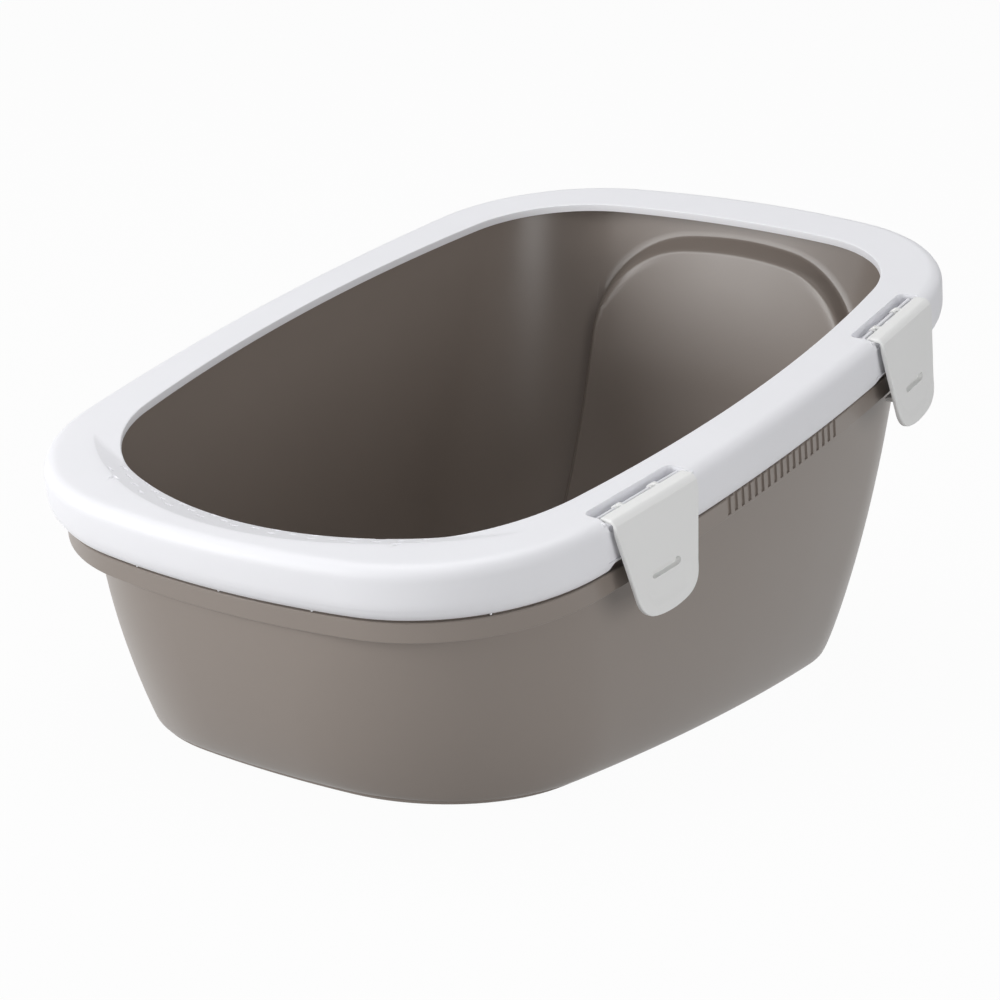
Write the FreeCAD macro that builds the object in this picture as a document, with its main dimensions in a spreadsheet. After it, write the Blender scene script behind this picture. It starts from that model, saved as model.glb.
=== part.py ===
import FreeCAD, Part
import math
import os
import re
import Sketcher

# Litter tray: a deep tub, a rim over its flange and two clips on the right side that lock the rim.
# Frame: +Z up, origin on the ground under the middle of the rim's outline,
# -Y the low front where the animal steps in, +Y the high back.
# Everything at the rim is drawn square to the rim's plane, which climbs from front to back:
# "drop" is a depth below that plane, "inset" a distance inward from the rim's widest outline.

Vector = FreeCAD.Vector
Placement = FreeCAD.Placement
Rotation = FreeCAD.Rotation

# Driving dimensions in millimetres, angles in degrees, shares without a unit.
SIZES = {
    # rim plane
    "rim_height": 202.7,
    "rim_tilt": 10.76,
    # rim, outline at its widest; a flat is the half-width less a corner's radius
    "rim_half_width": 194.1,
    "rim_front": 285,
    "rim_back": 285,
    "rim_side_radius": 1534,
    "rim_front_flat": 76.1,
    "rim_back_flat": 78.1,
    "rim_front_end": 535,
    "rim_back_end": 510,
    # rim, section
    "rim_wall": 2.5,
    "rim_depth": 33.1,
    "rim_top_round": 8,
    "rim_tuck_drop": 19,
    "rim_tuck_radius": 16.25,
    "tuck_sweep": 58,
    "lip_depth": 4.6,
    # rim, opening; a margin is the way in from the rim's widest outline
    "opening_side_margin": 30.8,
    "opening_front_margin": 37,
    "opening_back_margin": 40,
    "opening_side_radius": 1000,
    "opening_front_flat": 67.3,
    "opening_back_flat": 80.3,
    "opening_front_end": 234,
    "opening_back_end": 566,
    # rim, sloping step at the low front: a cone about an axis square to the rim's plane,
    # which ends on each side where a shallow ramp runs out of the rim's top
    "step_front_margin": 17,
    "step_radius": 205,
    "step_reach": 36,
    "step_slope": 16.7,
    "step_sweep": 130,
    "step_half_width": 150,
    "step_ramp": 6,
    "step_gap": 1,
    # tub, outline of the outer wall at the rim's plane and extrapolated down to the foot
    "tub_wall": 2.6,
    "tub_floor": 2.8,
    "tub_top_side_margin": 22.1,
    "tub_top_front_margin": 15,
    "tub_top_back_margin": 16.2,
    "tub_top_side_radius": 1400,
    "tub_top_front_flat": 59,
    "tub_top_back_flat": 96,
    "tub_top_front_end": 500,
    "tub_top_back_end": 500,
    "tub_low_side_margin": 29.1,
    "tub_low_front_margin": 46,
    "tub_low_back_margin": 47,
    "tub_low_side_radius": 1400,
    "tub_low_front_flat": 20,
    "tub_low_back_flat": 25,
    "tub_low_front_end": 500,
    "tub_low_back_end": 500,
    # tub, bend from the wall into the floor
    "tub_bend_share": 0.61,
    "tub_bend_inset": 19.5,
    "tub_bend_corner": 30.5,
    "tub_over_share": 0.03,
    # tub, foot ring
    "foot_height": 3,
    "foot_wall": 3,
    "foot_side_margin": 52.1,
    "foot_front_margin": 68,
    "foot_back_margin": 79,
    "foot_side_radius": 1403,
    "foot_front_flat": 50,
    "foot_back_flat": 56,
    "foot_front_end": 516,
    "foot_back_end": 393,
    # tub, arched panel set into the high back wall
    "arch_depth": 8,
    "arch_half_width": 100,
    "arch_rise": 28.3,
    "arch_top_radius": 300,
    "arch_corner_radius": 70,
    "arch_ledge": 2.6,
    "arch_start": 60,
    # tub, flange under the rim, its skirt and the band below it
    "flange_wall": 2.5,
    "skirt_inset": 11.1,
    "band_inset": 8.3,
    "band_drop": 34.8,
    "band_height": 12,
    # grip zones on the long sides
    "grip_count": 18,
    "grip_pitch": 6.87,
    "grip_width": 3.2,
    "grip_depth": 1.2,
    "grip_height": 8.5,
    "scallop_width": 4.4,
    "scallop_rise": 1.7,
    # clip stations, measured from the rim's widest outline, outward positive
    "clip_front_margin": 148.2,
    "notch_inner": 21.2,
    "notch_length": 96,
    "pocket_inner": 18.5,
    "pocket_length": 73,
    "pocket_depth": 7,
    "pocket_wall": 2,
    "recess_depth": 1.2,
    "recess_length": 76,
    "recess_drop": 24,
    "cutout_length": 66,
    "cutout_drop": 26,
    "pivot_inset": 12.2,
    "pivot_drop": 3.5,
    "pivot_radius": 1.5,
    "pivot_clearance": 0.06,
    "pivot_seat": 1,
    "post_width": 3,
    # clip
    "clip_width": 70,
    "clip_wall": 2.5,
    "clip_plate_inset": 7.7,
    "clip_gap": 0.3,
    "clip_lean": 3,
    "clip_length": 65.3,
    "clip_bend": 3.5,
    "clip_shoulder_drop": 9,
    "clip_tip_radius": 62,
    "clip_tip_corner": 16,
    "clip_tip_half_width": 28.5,
    "slot_length": 24.5,
    "slot_height": 4.4,
    "slot_drop": 40.3,
    "edge_width": 4,
    "edge_depth": 0.9,
    "knuckle_station": 15,
    "knuckle_width": 6,
    "knuckle_wall": 1.44,
    "knuckle_arm": 6,
    "knuckle_mouth": 2.4,
    "hook_gap": 0.4,
    "hook_reach": 0.4,
    "hook_thickness": 2.4,
    "hook_root": 5.6,
    # how far a cutting or joining solid runs past the faces it meets
    "overrun": 5,
    "overlap": 1,
    # how far an edge may lie from where it is looked for
    "tolerance": 0.01,
}

# Shares of a quarter turn at which outlines are drawn, up the bowl's wall and round the rim's top.
BEND_SHARES = [1, 0.82, 0.55, 0]
ROUND_SHARES = [1, 0.75, 0.5, 0.25, 0]
# Shares of the tuck's turn below the rim's side face.
TUCK_SHARES = [0, 0.35, 0.7, 1]
# Names of an outline's eight sizes.
OUTLINE = ["half_width", "front", "back", "side_radius",
           "front_corner", "back_corner", "front_end", "back_end"]

# Sizes that follow from the driving ones.
DERIVED = {
    "step_axis": "rim_front - step_front_margin - step_radius",
    "clip_station": "rim_front - clip_front_margin",
    "arch_height": "rim_height + arch_rise",
}
for prefix in ("opening", "tub_top", "tub_low", "foot"):
    DERIVED[prefix + "_half_width"] = "rim_half_width - %s_side_margin" % prefix
    DERIVED[prefix + "_front"] = "rim_front - %s_front_margin" % prefix
    DERIVED[prefix + "_back"] = "rim_back - %s_back_margin" % prefix
for prefix in ("rim", "opening", "tub_top", "tub_low", "foot"):
    DERIVED[prefix + "_front_corner"] = "%s_half_width - %s_front_flat" % (prefix, prefix)
    DERIVED[prefix + "_back_corner"] = "%s_half_width - %s_back_flat" % (prefix, prefix)

doc = FreeCAD.newDocument("litter_tray")
dims = doc.addObject("Spreadsheet::Sheet", "dims")
cells = {name: str(number) for name, number in SIZES.items()}
cells.update({name: "=" + formula for name, formula in DERIVED.items()})
for row, (name, content) in enumerate(cells.items(), start=1):
    dims.set("A%d" % row, name)
    dims.set("B%d" % row, content)
    dims.setAlias("B%d" % row, name)
doc.recompute()


def full(text):
    # an expression with every size's name led back to the sheet
    return re.sub(r"[a-z]\w*", lambda word: "dims." + word[0] if word[0] in cells else word[0], text)


def value(text):
    result = dims.evalExpression(full(text))
    return float(getattr(result, "Value", result))


def bind(item, **settings):
    # texts become expressions, but for the kind of an extent, and everything else is set as it is
    for key, setting in settings.items():
        if isinstance(setting, str) and key != "Type":
            item.setExpression(key.replace("__", "."), full(setting))
        else:
            setattr(item, key, setting)
    return item


def new_body(name):
    return doc.addObject("PartDesign::Body", name)


def new_sketch(body, name, plane, shift=None, lift="0", tilt="0"):
    # a sketch on one of the body's own planes, moved along the plane's normal by lift
    sketch = body.newObject("Sketcher::SketchObject", name)
    sketch.AttachmentSupport = ([item for item in body.Origin.OriginFeatures if item.Role == plane][0], "")
    sketch.MapMode = "FlatFace"
    across = "0" if shift is None else shift
    offset = Vector(value(across), 0, value(lift))
    sketch.AttachmentOffset = Placement(offset, Rotation(Vector(1, 0, 0), value(tilt)))
    sketch.setExpression("AttachmentOffset.Base.x", full(across))
    sketch.setExpression("AttachmentOffset.Base.z", full(lift))
    if tilt != "0":
        sketch.setExpression("AttachmentOffset.Rotation.Angle", full(tilt))
    return sketch


def hold(sketch, *constraint, size):
    index = sketch.addConstraint(Sketcher.Constraint(*constraint, value(size)))
    sketch.setExpression("Constraints[%d]" % index, full(size))


def angle_between(centre, point):
    return math.atan2(point[1] - centre[1], point[0] - centre[0])


def corner_centre(half, reach, side, end, corner):
    # centre of the corner arc that touches a side arc and an end arc from inside
    across = side - half
    along = reach - end
    apart = math.hypot(across, along)
    to_side = side - corner
    to_end = end - corner
    share = (to_side ** 2 - to_end ** 2 + apart ** 2) / (2 * apart)
    rise = math.sqrt(max(to_side ** 2 - share ** 2, 0))
    ux = across / apart
    uy = along / apart
    found = [(ux * share - across - uy * rise * s, uy * share + ux * rise * s) for s in (1, -1)]
    return max(found, key=sum)


def outline(body, name, sizes, lift, tilt="0"):
    # eight arcs that run into one another: two bowed sides, two ends and four corners
    sketch = new_sketch(body, name, "XY_Plane", lift=lift, tilt=tilt)
    half, front, back, side, front_corner, back_corner, front_end, back_end = [value(size) for size in sizes]
    rear = corner_centre(half, back, side, back_end, back_corner)
    fore = corner_centre(half, front, side, front_end, front_corner)
    rear_side = angle_between((half - side, 0), rear)
    rear_end = angle_between((0, back - back_end), rear)
    fore_side = angle_between((half - side, 0), fore)
    fore_end = angle_between((0, front - front_end), fore)
    turn = math.pi
    arcs = [
        ((half - side, 0), side, -fore_side, rear_side),
        (rear, back_corner, rear_side, rear_end),
        ((0, back - back_end), back_end, rear_end, turn - rear_end),
        ((-rear[0], rear[1]), back_corner, turn - rear_end, turn - rear_side),
        ((side - half, 0), side, turn - rear_side, turn + fore_side),
        ((-fore[0], -fore[1]), front_corner, turn + fore_side, turn + fore_end),
        ((0, front_end - front), front_end, turn + fore_end, 2 * turn - fore_end),
        ((fore[0], -fore[1]), front_corner, 2 * turn - fore_end, 2 * turn - fore_side),
    ]
    for (x, y), radius, start, stop in arcs:
        circle = Part.Circle(Vector(x, y, 0), Vector(0, 0, 1), radius)
        sketch.addGeometry(Part.ArcOfCircle(circle, start, stop), False)
    for index in range(8):
        sketch.addConstraint(Sketcher.Constraint("Tangent", index, 2, (index + 1) % 8, 1))
    for first, second in ((0, 4), (1, 3), (5, 7)):
        sketch.addConstraint(Sketcher.Constraint("Equal", first, second))
    for index, axis in ((2, -2), (6, -2), (0, -1), (4, -1)):
        sketch.addConstraint(Sketcher.Constraint("PointOnObject", index, 3, axis))
    for index, size in ((0, 3), (1, 5), (2, 7), (5, 4), (6, 6)):
        hold(sketch, "Radius", index, size=sizes[size])
    hold(sketch, "DistanceX", -1, 1, 0, 3, size="(%s) - (%s)" % (sizes[0], sizes[3]))
    hold(sketch, "DistanceX", -1, 1, 4, 3, size="(%s) - (%s)" % (sizes[3], sizes[0]))
    hold(sketch, "DistanceY", -1, 1, 2, 3, size="(%s) - (%s)" % (sizes[2], sizes[7]))
    hold(sketch, "DistanceY", -1, 1, 6, 3, size="(%s) - (%s)" % (sizes[6], sizes[1]))
    return sketch


def named(prefix, inset="0"):
    return ["%s_%s - (%s)" % (prefix, size, inset) for size in OUTLINE]


def polygon(sketch, nodes):
    # a closed outline; a node's third and fourth entries turn the edge after it into an arc,
    # by its radius and the side its centre lies on (1 left, -1 right)
    points = [Vector(value(node[0]), value(node[1]), 0) for node in nodes]
    first = sketch.GeometryCount
    tips = []
    for index, node in enumerate(nodes):
        start = points[index]
        stop = points[(index + 1) % len(nodes)]
        if len(node) == 2:
            sketch.addGeometry(Part.LineSegment(start, stop), False)
            tips.append((1, 2))
            continue
        radius = value(node[2])
        chord = stop - start
        left = Vector(-chord.y, chord.x, 0).normalize()
        centre = (start + stop) * 0.5 + left * node[3] * math.sqrt(radius ** 2 - (chord.Length / 2) ** 2)
        angles = [angle_between(centre, start), angle_between(centre, stop)][::node[3]]
        sketch.addGeometry(Part.ArcOfCircle(Part.Circle(centre, Vector(0, 0, 1), radius), *angles), False)
        tips.append((1, 2)[::node[3]])
    for index, node in enumerate(nodes):
        after = (index + 1) % len(nodes)
        sketch.addConstraint(
            Sketcher.Constraint("Coincident", first + index, tips[index][1], first + after, tips[after][0])
        )
        hold(sketch, "DistanceX", -1, 1, first + index, tips[index][0], size=node[0])
        hold(sketch, "DistanceY", -1, 1, first + index, tips[index][0], size=node[1])
        if len(node) > 2:
            hold(sketch, "Radius", first + index, size=node[2])
    return sketch


def rectangle(sketch, left, right, low, high):
    return polygon(sketch, [(left, low), (right, low), (right, high), (left, high)])


def circle(sketch, x, y, radius):
    shape = Part.Circle(Vector(value(x), value(y), 0), Vector(0, 0, 1), value(radius))
    index = sketch.addGeometry(shape, False)
    hold(sketch, "DistanceX", -1, 1, index, 3, size=x)
    hold(sketch, "DistanceY", -1, 1, index, 3, size=y)
    hold(sketch, "Radius", index, size=radius)
    return sketch


def feature(body, kind, name, sketch, **settings):
    item = body.newObject("PartDesign::" + kind, name)
    item.Profile = sketch
    bind(item, **settings)
    sketch.Visibility = False
    doc.recompute()
    return item


def loft(body, name, sections):
    item = body.newObject("PartDesign::AdditiveLoft", name)
    item.Profile = sections[0]
    item.Sections = sections[1:]
    item.Ruled = True
    doc.recompute()
    return item


def round_edges(body, name, radius, chosen):
    # rounds the tip's edges that pass the test
    base = body.Tip
    names = ["Edge%d" % (index + 1) for index, edge in enumerate(base.Shape.Edges) if chosen(edge)]
    item = body.newObject("PartDesign::Fillet", name)
    item.Base = (base, names)
    bind(item, Radius=radius)
    doc.recompute()
    return item


def turned(body, name, sketch):
    # a body turned about the sloping step's axis, half to each side
    axis = sketch.addGeometry(Part.LineSegment(Vector(-value("step_axis"), 0, 0),
                                               Vector(-value("step_axis"), value("rim_depth"), 0)), True)
    hold(sketch, "DistanceX", -1, 1, axis, 1, size="-step_axis")
    sketch.addConstraint(Sketcher.Constraint("PointOnObject", axis, 1, -1))
    sketch.addConstraint(Sketcher.Constraint("Vertical", axis))
    hold(sketch, "Distance", axis, size="rim_depth")
    axis = (sketch, ["Axis0"])
    return feature(body, "Revolution", name, sketch, ReferenceAxis=axis, Angle="step_sweep", Midplane=True)


def along(edge, x, z):
    # whether an edge runs along y through a point of the xz plane
    ends = [vertex.Point for vertex in edge.Vertexes]
    return all(math.hypot(end.x - value(x), end.z - value(z)) < value("tolerance") for end in ends)


def shifted(x, y, z):
    # a placement that only moves
    return "placement(vector(%s; %s; %s); rotation(vector(0; 0; 1); 0))" % (x, y, z)


def box(name, low, high, frame):
    # a block between two corners of a frame
    item = doc.addObject("Part::Box", name)
    for key, start, stop in zip(("Length", "Width", "Height"), low, high):
        bind(item, **{key: "(%s) - (%s)" % (stop, start)})
    return bind(item, Placement="%s * %s" % (frame, shifted(*low)))


def joined(name, items):
    item = doc.addObject("Part::MultiFuse", name)
    item.Shapes = items
    return item


def cut(name, base, tool):
    item = doc.addObject("Part::Cut", name)
    item.Base = base
    item.Tool = tool
    return item


def common(name, first, second):
    item = doc.addObject("Part::Common", name)
    item.Base = first
    item.Tool = second
    return item


def moved(name, source, place):
    # a copy of a shape under its own placement
    item = doc.addObject("App::Link", name)
    item.LinkedObject = source
    item.LinkTransform = True
    item.setExpression("Placement", full(place))
    return item


RIM_FRAME = "placement(vector(0; 0; rim_height); rotation(vector(1; 0; 0); rim_tilt))"
# Centre of the rim's bowed side, and the end of that side each clip lies towards. A clip's frame has
# x outward, y along the side and z out of the rim's plane.
SIDE_CENTRE = "(rim_half_width - rim_side_radius)"
STATIONS = {"front_right": -1, "rear_right": 1}


def station_frame(place):
    reach = "(%s + sqrt(rim_side_radius^2 - clip_station^2))" % SIDE_CENTRE
    return "%s * placement(vector(%s; %d * clip_station; 0); rotation(vector(0; 0; 1); %d * %s))" % (
        RIM_FRAME, reach, STATIONS[place], STATIONS[place], "asin(clip_station / rim_side_radius)")


def grip_row(body, name, kind, make_sketch, depth):
    # the same small form all along the middle of both long sides
    centre = {1: SIDE_CENTRE, -1: "-%s" % SIDE_CENTRE}
    for side in (1, -1):
        where = "right" if side > 0 else "left"
        axis = new_sketch(body, "%s_axis_%s" % (name, where), "XY_Plane", shift=centre[side])
        inward = (side < 0) == (kind == "Pocket")
        for end in (1, -1):
            tag = "%s_%s_%s" % (name, where, "rear" if end > 0 else "front")
            lift = "%d * (rim_half_width + overrun)" % side
            plane = new_sketch(body, tag + "_sketch", "YZ_Plane", lift=lift)
            sketch = make_sketch(plane, "%d * grip_pitch / 2" % end)
            single = feature(body, kind, tag, sketch, Length=depth, Reversed=inward)
            pattern = body.newObject("PartDesign::PolarPattern", tag + "_row")
            pattern.Originals = [single]
            pattern.Axis = (axis, ["N_Axis"])
            pattern.Reversed = side != end
            bind(pattern, Occurrences="grip_count / 2",
                 Angle="(grip_count / 2 - 1) * grip_pitch / rim_side_radius * 180 / pi")
            body.Tip = pattern
            doc.recompute()


# Tub: the bowl as two lofts, outside and inside, each a stack of outlines that turn
# step by step from the level foot to the climbing rim.
def bowl_form(name, inset, floor, top_share):
    body = new_body(name)
    top = "(rim_height - (rim_wall + flange_wall / 2) / cos(rim_tilt))"
    stack = [("tub_bend_share * (1 - sin(90 * %g))" % share, "(1 - cos(90 * %g))" % share)
             for share in BEND_SHARES]
    stack.append((top_share, "0"))
    sections = []
    for index, (share, turn) in enumerate(stack):
        bend = "tub_bend_inset * " + turn
        tighter = "%s + tub_bend_corner * %s^2" % (bend, turn)
        shrink = {"side_radius": "0", "front_corner": tighter, "back_corner": tighter}
        sizes = ["tub_low_%s + (tub_top_%s - tub_low_%s) * (%s) - (%s) - (%s)"
                 % (size, size, size, share, inset, shrink.get(size, bend))
                 for size in OUTLINE]
        lift = "%s + (%s - (%s)) * (%s)" % (floor, top, floor, share)
        sections.append(outline(body, "%s_%d" % (name, index + 1), sizes, lift, "rim_tilt * (%s)" % share))
    loft(body, name + "_wall", sections)
    return body


def arch_form(name, inset):
    body = new_body(name)
    half, crown, corner, height = ["(arch_%s - (%s))" % (size, inset)
                                   for size in ("half_width", "top_radius", "corner_radius", "height")]
    centre = "(%s - %s)" % (height, crown)
    rise = "sqrt((%s - %s)^2 - (%s - %s)^2)" % (crown, corner, half, corner)
    grow = "%s / (%s - %s)" % (crown, crown, corner)
    leg_top = "%s + %s" % (centre, rise)
    meet_x = "(%s - %s) * %s" % (half, corner, grow)
    meet_z = "%s + %s * %s" % (centre, rise, grow)
    sketch = new_sketch(body, name + "_outline", "XZ_Plane", lift="-(tub_top_back + overrun)")
    polygon(sketch, [
        ("-" + half, "0"),
        (half, "0"),
        (half, leg_top, corner, 1),
        (meet_x, meet_z, crown, 1),
        ("-(%s)" % meet_x, meet_z, corner, 1),
        ("-" + half, leg_top),
    ])
    feature(body, "Pad", name + "_block", sketch, Length="tub_top_back + overrun - arch_start")
    return body


outside = bowl_form("outside", "0", "foot_height", "1")
inside = bowl_form("inside", "tub_wall", "(foot_height + tub_floor)", "1 + tub_over_share")

foot = new_body("foot")
feature(foot, "Pad", "foot_ring", outline(foot, "foot_outline", named("foot"), "0"),
        Length="foot_height + overlap")
feature(foot, "Pocket", "foot_recess", outline(foot, "foot_inner", named("foot", "foot_wall"), "0"),
        Type="ThroughAll", Reversed=True)

# Flange: a plate under the rim, a skirt, a shoulder and the band that carries on the rim's side face.
flange = new_body("flange")
feature(flange, "Pad", "skirt_block",
        outline(flange, "skirt_outline", named("rim", "skirt_inset"), "-(band_drop + flange_wall)"),
        Length="band_drop + flange_wall - rim_wall")
feature(flange, "Pad", "band_block",
        outline(flange, "band_outline", named("rim", "band_inset"), "-(band_drop + band_height)"),
        Length="band_height")
feature(flange, "Pocket", "skirt_hollow",
        outline(flange, "skirt_inner", named("rim", "skirt_inset + flange_wall"),
                "-(rim_wall + flange_wall)"),
        Length="band_drop - rim_wall")
feature(flange, "Pocket", "band_hollow",
        outline(flange, "band_inner", named("rim", "band_inset + flange_wall"), "-(band_drop + flange_wall)"),
        Length="band_height")
grip_row(flange, "grip", "Pocket",
         lambda sketch, middle: rectangle(sketch, middle + " - grip_width / 2", middle + " + grip_width / 2",
                                          "-(band_drop + grip_height)", "-(band_drop - overlap)"),
         "overrun + band_inset + grip_depth")
bind(flange, Placement=RIM_FRAME)

arch_step = shifted("0", "-arch_depth", "0")
panel_room = common("panel_room", arch_form("arch_panel", "0"), inside)
panel = cut("panel", panel_room, moved("inside_stepped", inside, arch_step))
recess_room = common("recess_room", arch_form("arch_recess", "arch_ledge"), outside)
recess = cut("recess", recess_room, moved("outside_stepped", outside, arch_step))

notches = [box("notch_" + place, ("-notch_inner", "-notch_length / 2", "-band_drop"),
               ("0", "notch_length / 2", "0"), station_frame(place)) for place in STATIONS]
shell = cut("tub_shell", joined("tub_block", [outside, foot, flange]), inside)
tub = cut("tub", joined("tub_panelled", [shell, panel]), joined("tub_openings", [recess] + notches))

# Rim: a solid in the rim's outer form less its hollow, then the lip, the sloping step and the opening.
hollow = new_body("hollow")
bend = "(rim_top_round - rim_wall)"
tuck = "(rim_tuck_radius - rim_wall)"
profile = [("rim_top_round - %s * cos(90 * %g)" % (bend, share),
            "rim_top_round - %s * sin(90 * %g)" % (bend, share)) for share in ROUND_SHARES]
profile += [("rim_tuck_radius - %s * cos(tuck_sweep * %g)" % (tuck, share),
             "rim_tuck_drop + %s * sin(tuck_sweep * %g)" % (tuck, share)) for share in TUCK_SHARES]
profile.append((profile[-1][0], "rim_depth + overlap"))
loft(hollow, "hollow_form", [outline(hollow, "hollow_%d" % index, named("rim", inset), "-(%s)" % drop)
                             for index, (inset, drop) in enumerate(profile)])
form = new_body("form")
sweep = "asin((rim_depth - rim_tuck_drop) / rim_tuck_radius)"
profile = [("rim_top_round * (1 - cos(90 * %g))" % share, "rim_top_round * (1 - sin(90 * %g))" % share)
           for share in ROUND_SHARES]
profile += [("rim_tuck_radius * (1 - cos(%s * %g))" % (sweep, share),
             "rim_tuck_drop + rim_tuck_radius * sin(%s * %g)" % (sweep, share)) for share in TUCK_SHARES]
loft(form, "rim_form_loft", [outline(form, "form_%d" % index, named("rim", inset), "-(%s)" % drop)
                             for index, (inset, drop) in enumerate(profile)])
# the lip round the opening is drawn on the rim's hollowed form
frame = new_body("frame")
base = doc.addObject("Part::Cut", "rim_form")
base.Base = form
base.Tool = hollow
frame.BaseFeature = base
doc.recompute()
feature(frame, "Pad", "lip", outline(frame, "lip_outline", named("opening", "-rim_wall"), "-lip_depth"),
        Length="lip_depth")
bind(frame, Placement=RIM_FRAME)
opening = new_body("opening")
feature(opening, "Pad", "opening_block", outline(opening, "opening_outline", named("opening"), "-rim_depth"),
        Length="rim_depth + overrun")
bind(opening, Placement=RIM_FRAME)

# Sloping step: what lies above the cone and both ramps is cut away, and the same form moved down
# by the rim's wall, kept clear of the tub's wall, gives the step its own wall.
step_low = "step_reach * tan(step_slope)"
cone = new_body("cone")
step_outer = "-(step_axis + step_radius)"
step_inner = "-(step_axis + step_radius - step_reach)"
cone_sketch = polygon(new_sketch(cone, "cone_sketch", "YZ_Plane"), [
    (step_outer, "0"),
    (step_inner, "-%s" % step_low),
    (step_inner, "overlap"),
    (step_outer, "overlap"),
])
turned(cone, "cone_turned", cone_sketch)
ramps = new_body("ramps")
ramp_foot = "(step_half_width - %s / tan(step_ramp))" % step_low
ramps_sketch = polygon(new_sketch(ramps, "ramps_sketch", "XZ_Plane"), [
    ("-step_half_width", "0"),
    ("-" + ramp_foot, "-%s" % step_low),
    (ramp_foot, "-%s" % step_low),
    ("step_half_width", "0"),
    ("step_half_width", "overlap"),
    ("-step_half_width", "overlap"),
])
feature(ramps, "Pad", "ramps_block", ramps_sketch, Length="2 * rim_front", Midplane=True)
for body in (cone, ramps):
    bind(body, Placement=RIM_FRAME)
step = common("step", cone, ramps)
room = new_body("step_room")
feature(room, "Pad", "step_room_block",
        outline(room, "step_room_outline", named("tub_top", "tub_wall + step_gap"), "-rim_depth"),
        Length="rim_depth")
bind(room, Placement=RIM_FRAME)
lowered = moved("step_lowered", step, shifted("0", "rim_wall * sin(rim_tilt)", "-rim_wall * cos(rim_tilt)"))
step_wall = common("step_wall", lowered, room)

# Scallops along the rim's lower edge, over the grip zones.
scallops = new_body("scallops")
scallops.AllowCompound = True
grip_row(scallops, "scallop", "Pad",
         lambda sketch, middle: polygon(sketch, [
             (middle + " - scallop_width / 2", "-(rim_depth + overlap)"),
             (middle + " + scallop_width / 2", "-(rim_depth + overlap)"),
             (middle + " + scallop_width / 2", "-rim_depth"),
             (middle + " + scallop_width / 4", "scallop_rise - rim_depth"),
             (middle + " - scallop_width / 4", "scallop_rise - rim_depth"),
             (middle + " - scallop_width / 2", "-rim_depth"),
         ]),
         "2 * overrun + skirt_inset")
bind(scallops, Placement=RIM_FRAME)

blocks = [step_wall]
cuts = [opening, step, scallops]
pivots = []
for place in STATIONS:
    station = station_frame(place)
    reach = "(pocket_length / 2 + pocket_wall)"
    low = ("-(pocket_inner + pocket_wall)", "-" + reach, "-(pocket_depth + pocket_wall)")
    blocks.append(box("block_" + place, low,
                      ("-(rim_top_round - rim_wall)", reach, "-rim_wall / 2"), station))
    blocks.append(box("bracket_" + place, low,
                      ("-(rim_wall - clip_gap)", reach, "-(rim_top_round - 2 * rim_wall)"), station))
    cuts.append(box("pocket_" + place, ("-pocket_inner", "-pocket_length / 2", "-pocket_depth"),
                    ("overrun", "pocket_length / 2", "overrun"), station))
    cuts.append(box("side_recess_" + place, ("-recess_depth", "-recess_length / 2", "-recess_drop"),
                    ("overrun", "recess_length / 2", "-(pocket_depth - overlap)"), station))
    cuts.append(box("cutout_" + place,
                    ("-(skirt_inset + rim_wall)", "-cutout_length / 2", "-(rim_depth + overlap)"),
                    ("overrun", "cutout_length / 2", "-cutout_drop"), station))
    bar = bind(doc.addObject("Part::Cylinder", "bar_" + place), Radius="pivot_radius",
               Height="pocket_length + 2 * pivot_seat")
    bar_end = shifted("-pivot_inset", "-(pocket_length / 2 + pivot_seat)", "-pivot_drop")
    laid = "placement(vector(0; 0; 0); rotation(vector(1; 0; 0); -90))"
    bind(bar, Placement="%s * %s * %s" % (station, bar_end, laid))
    pivots.append(bar)
    pivots.append(box("post_" + place,
                      ("-(pivot_inset + post_width / 2)", "-post_width / 2", "-(pocket_depth + overlap)"),
                      ("-(pivot_inset - post_width / 2)", "post_width / 2", "-pivot_drop"), station))
opened = cut("rim_open", joined("rim_solid", [frame] + blocks), joined("rim_cuts", cuts))
rim = joined("rim", [opened] + pivots)


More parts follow.
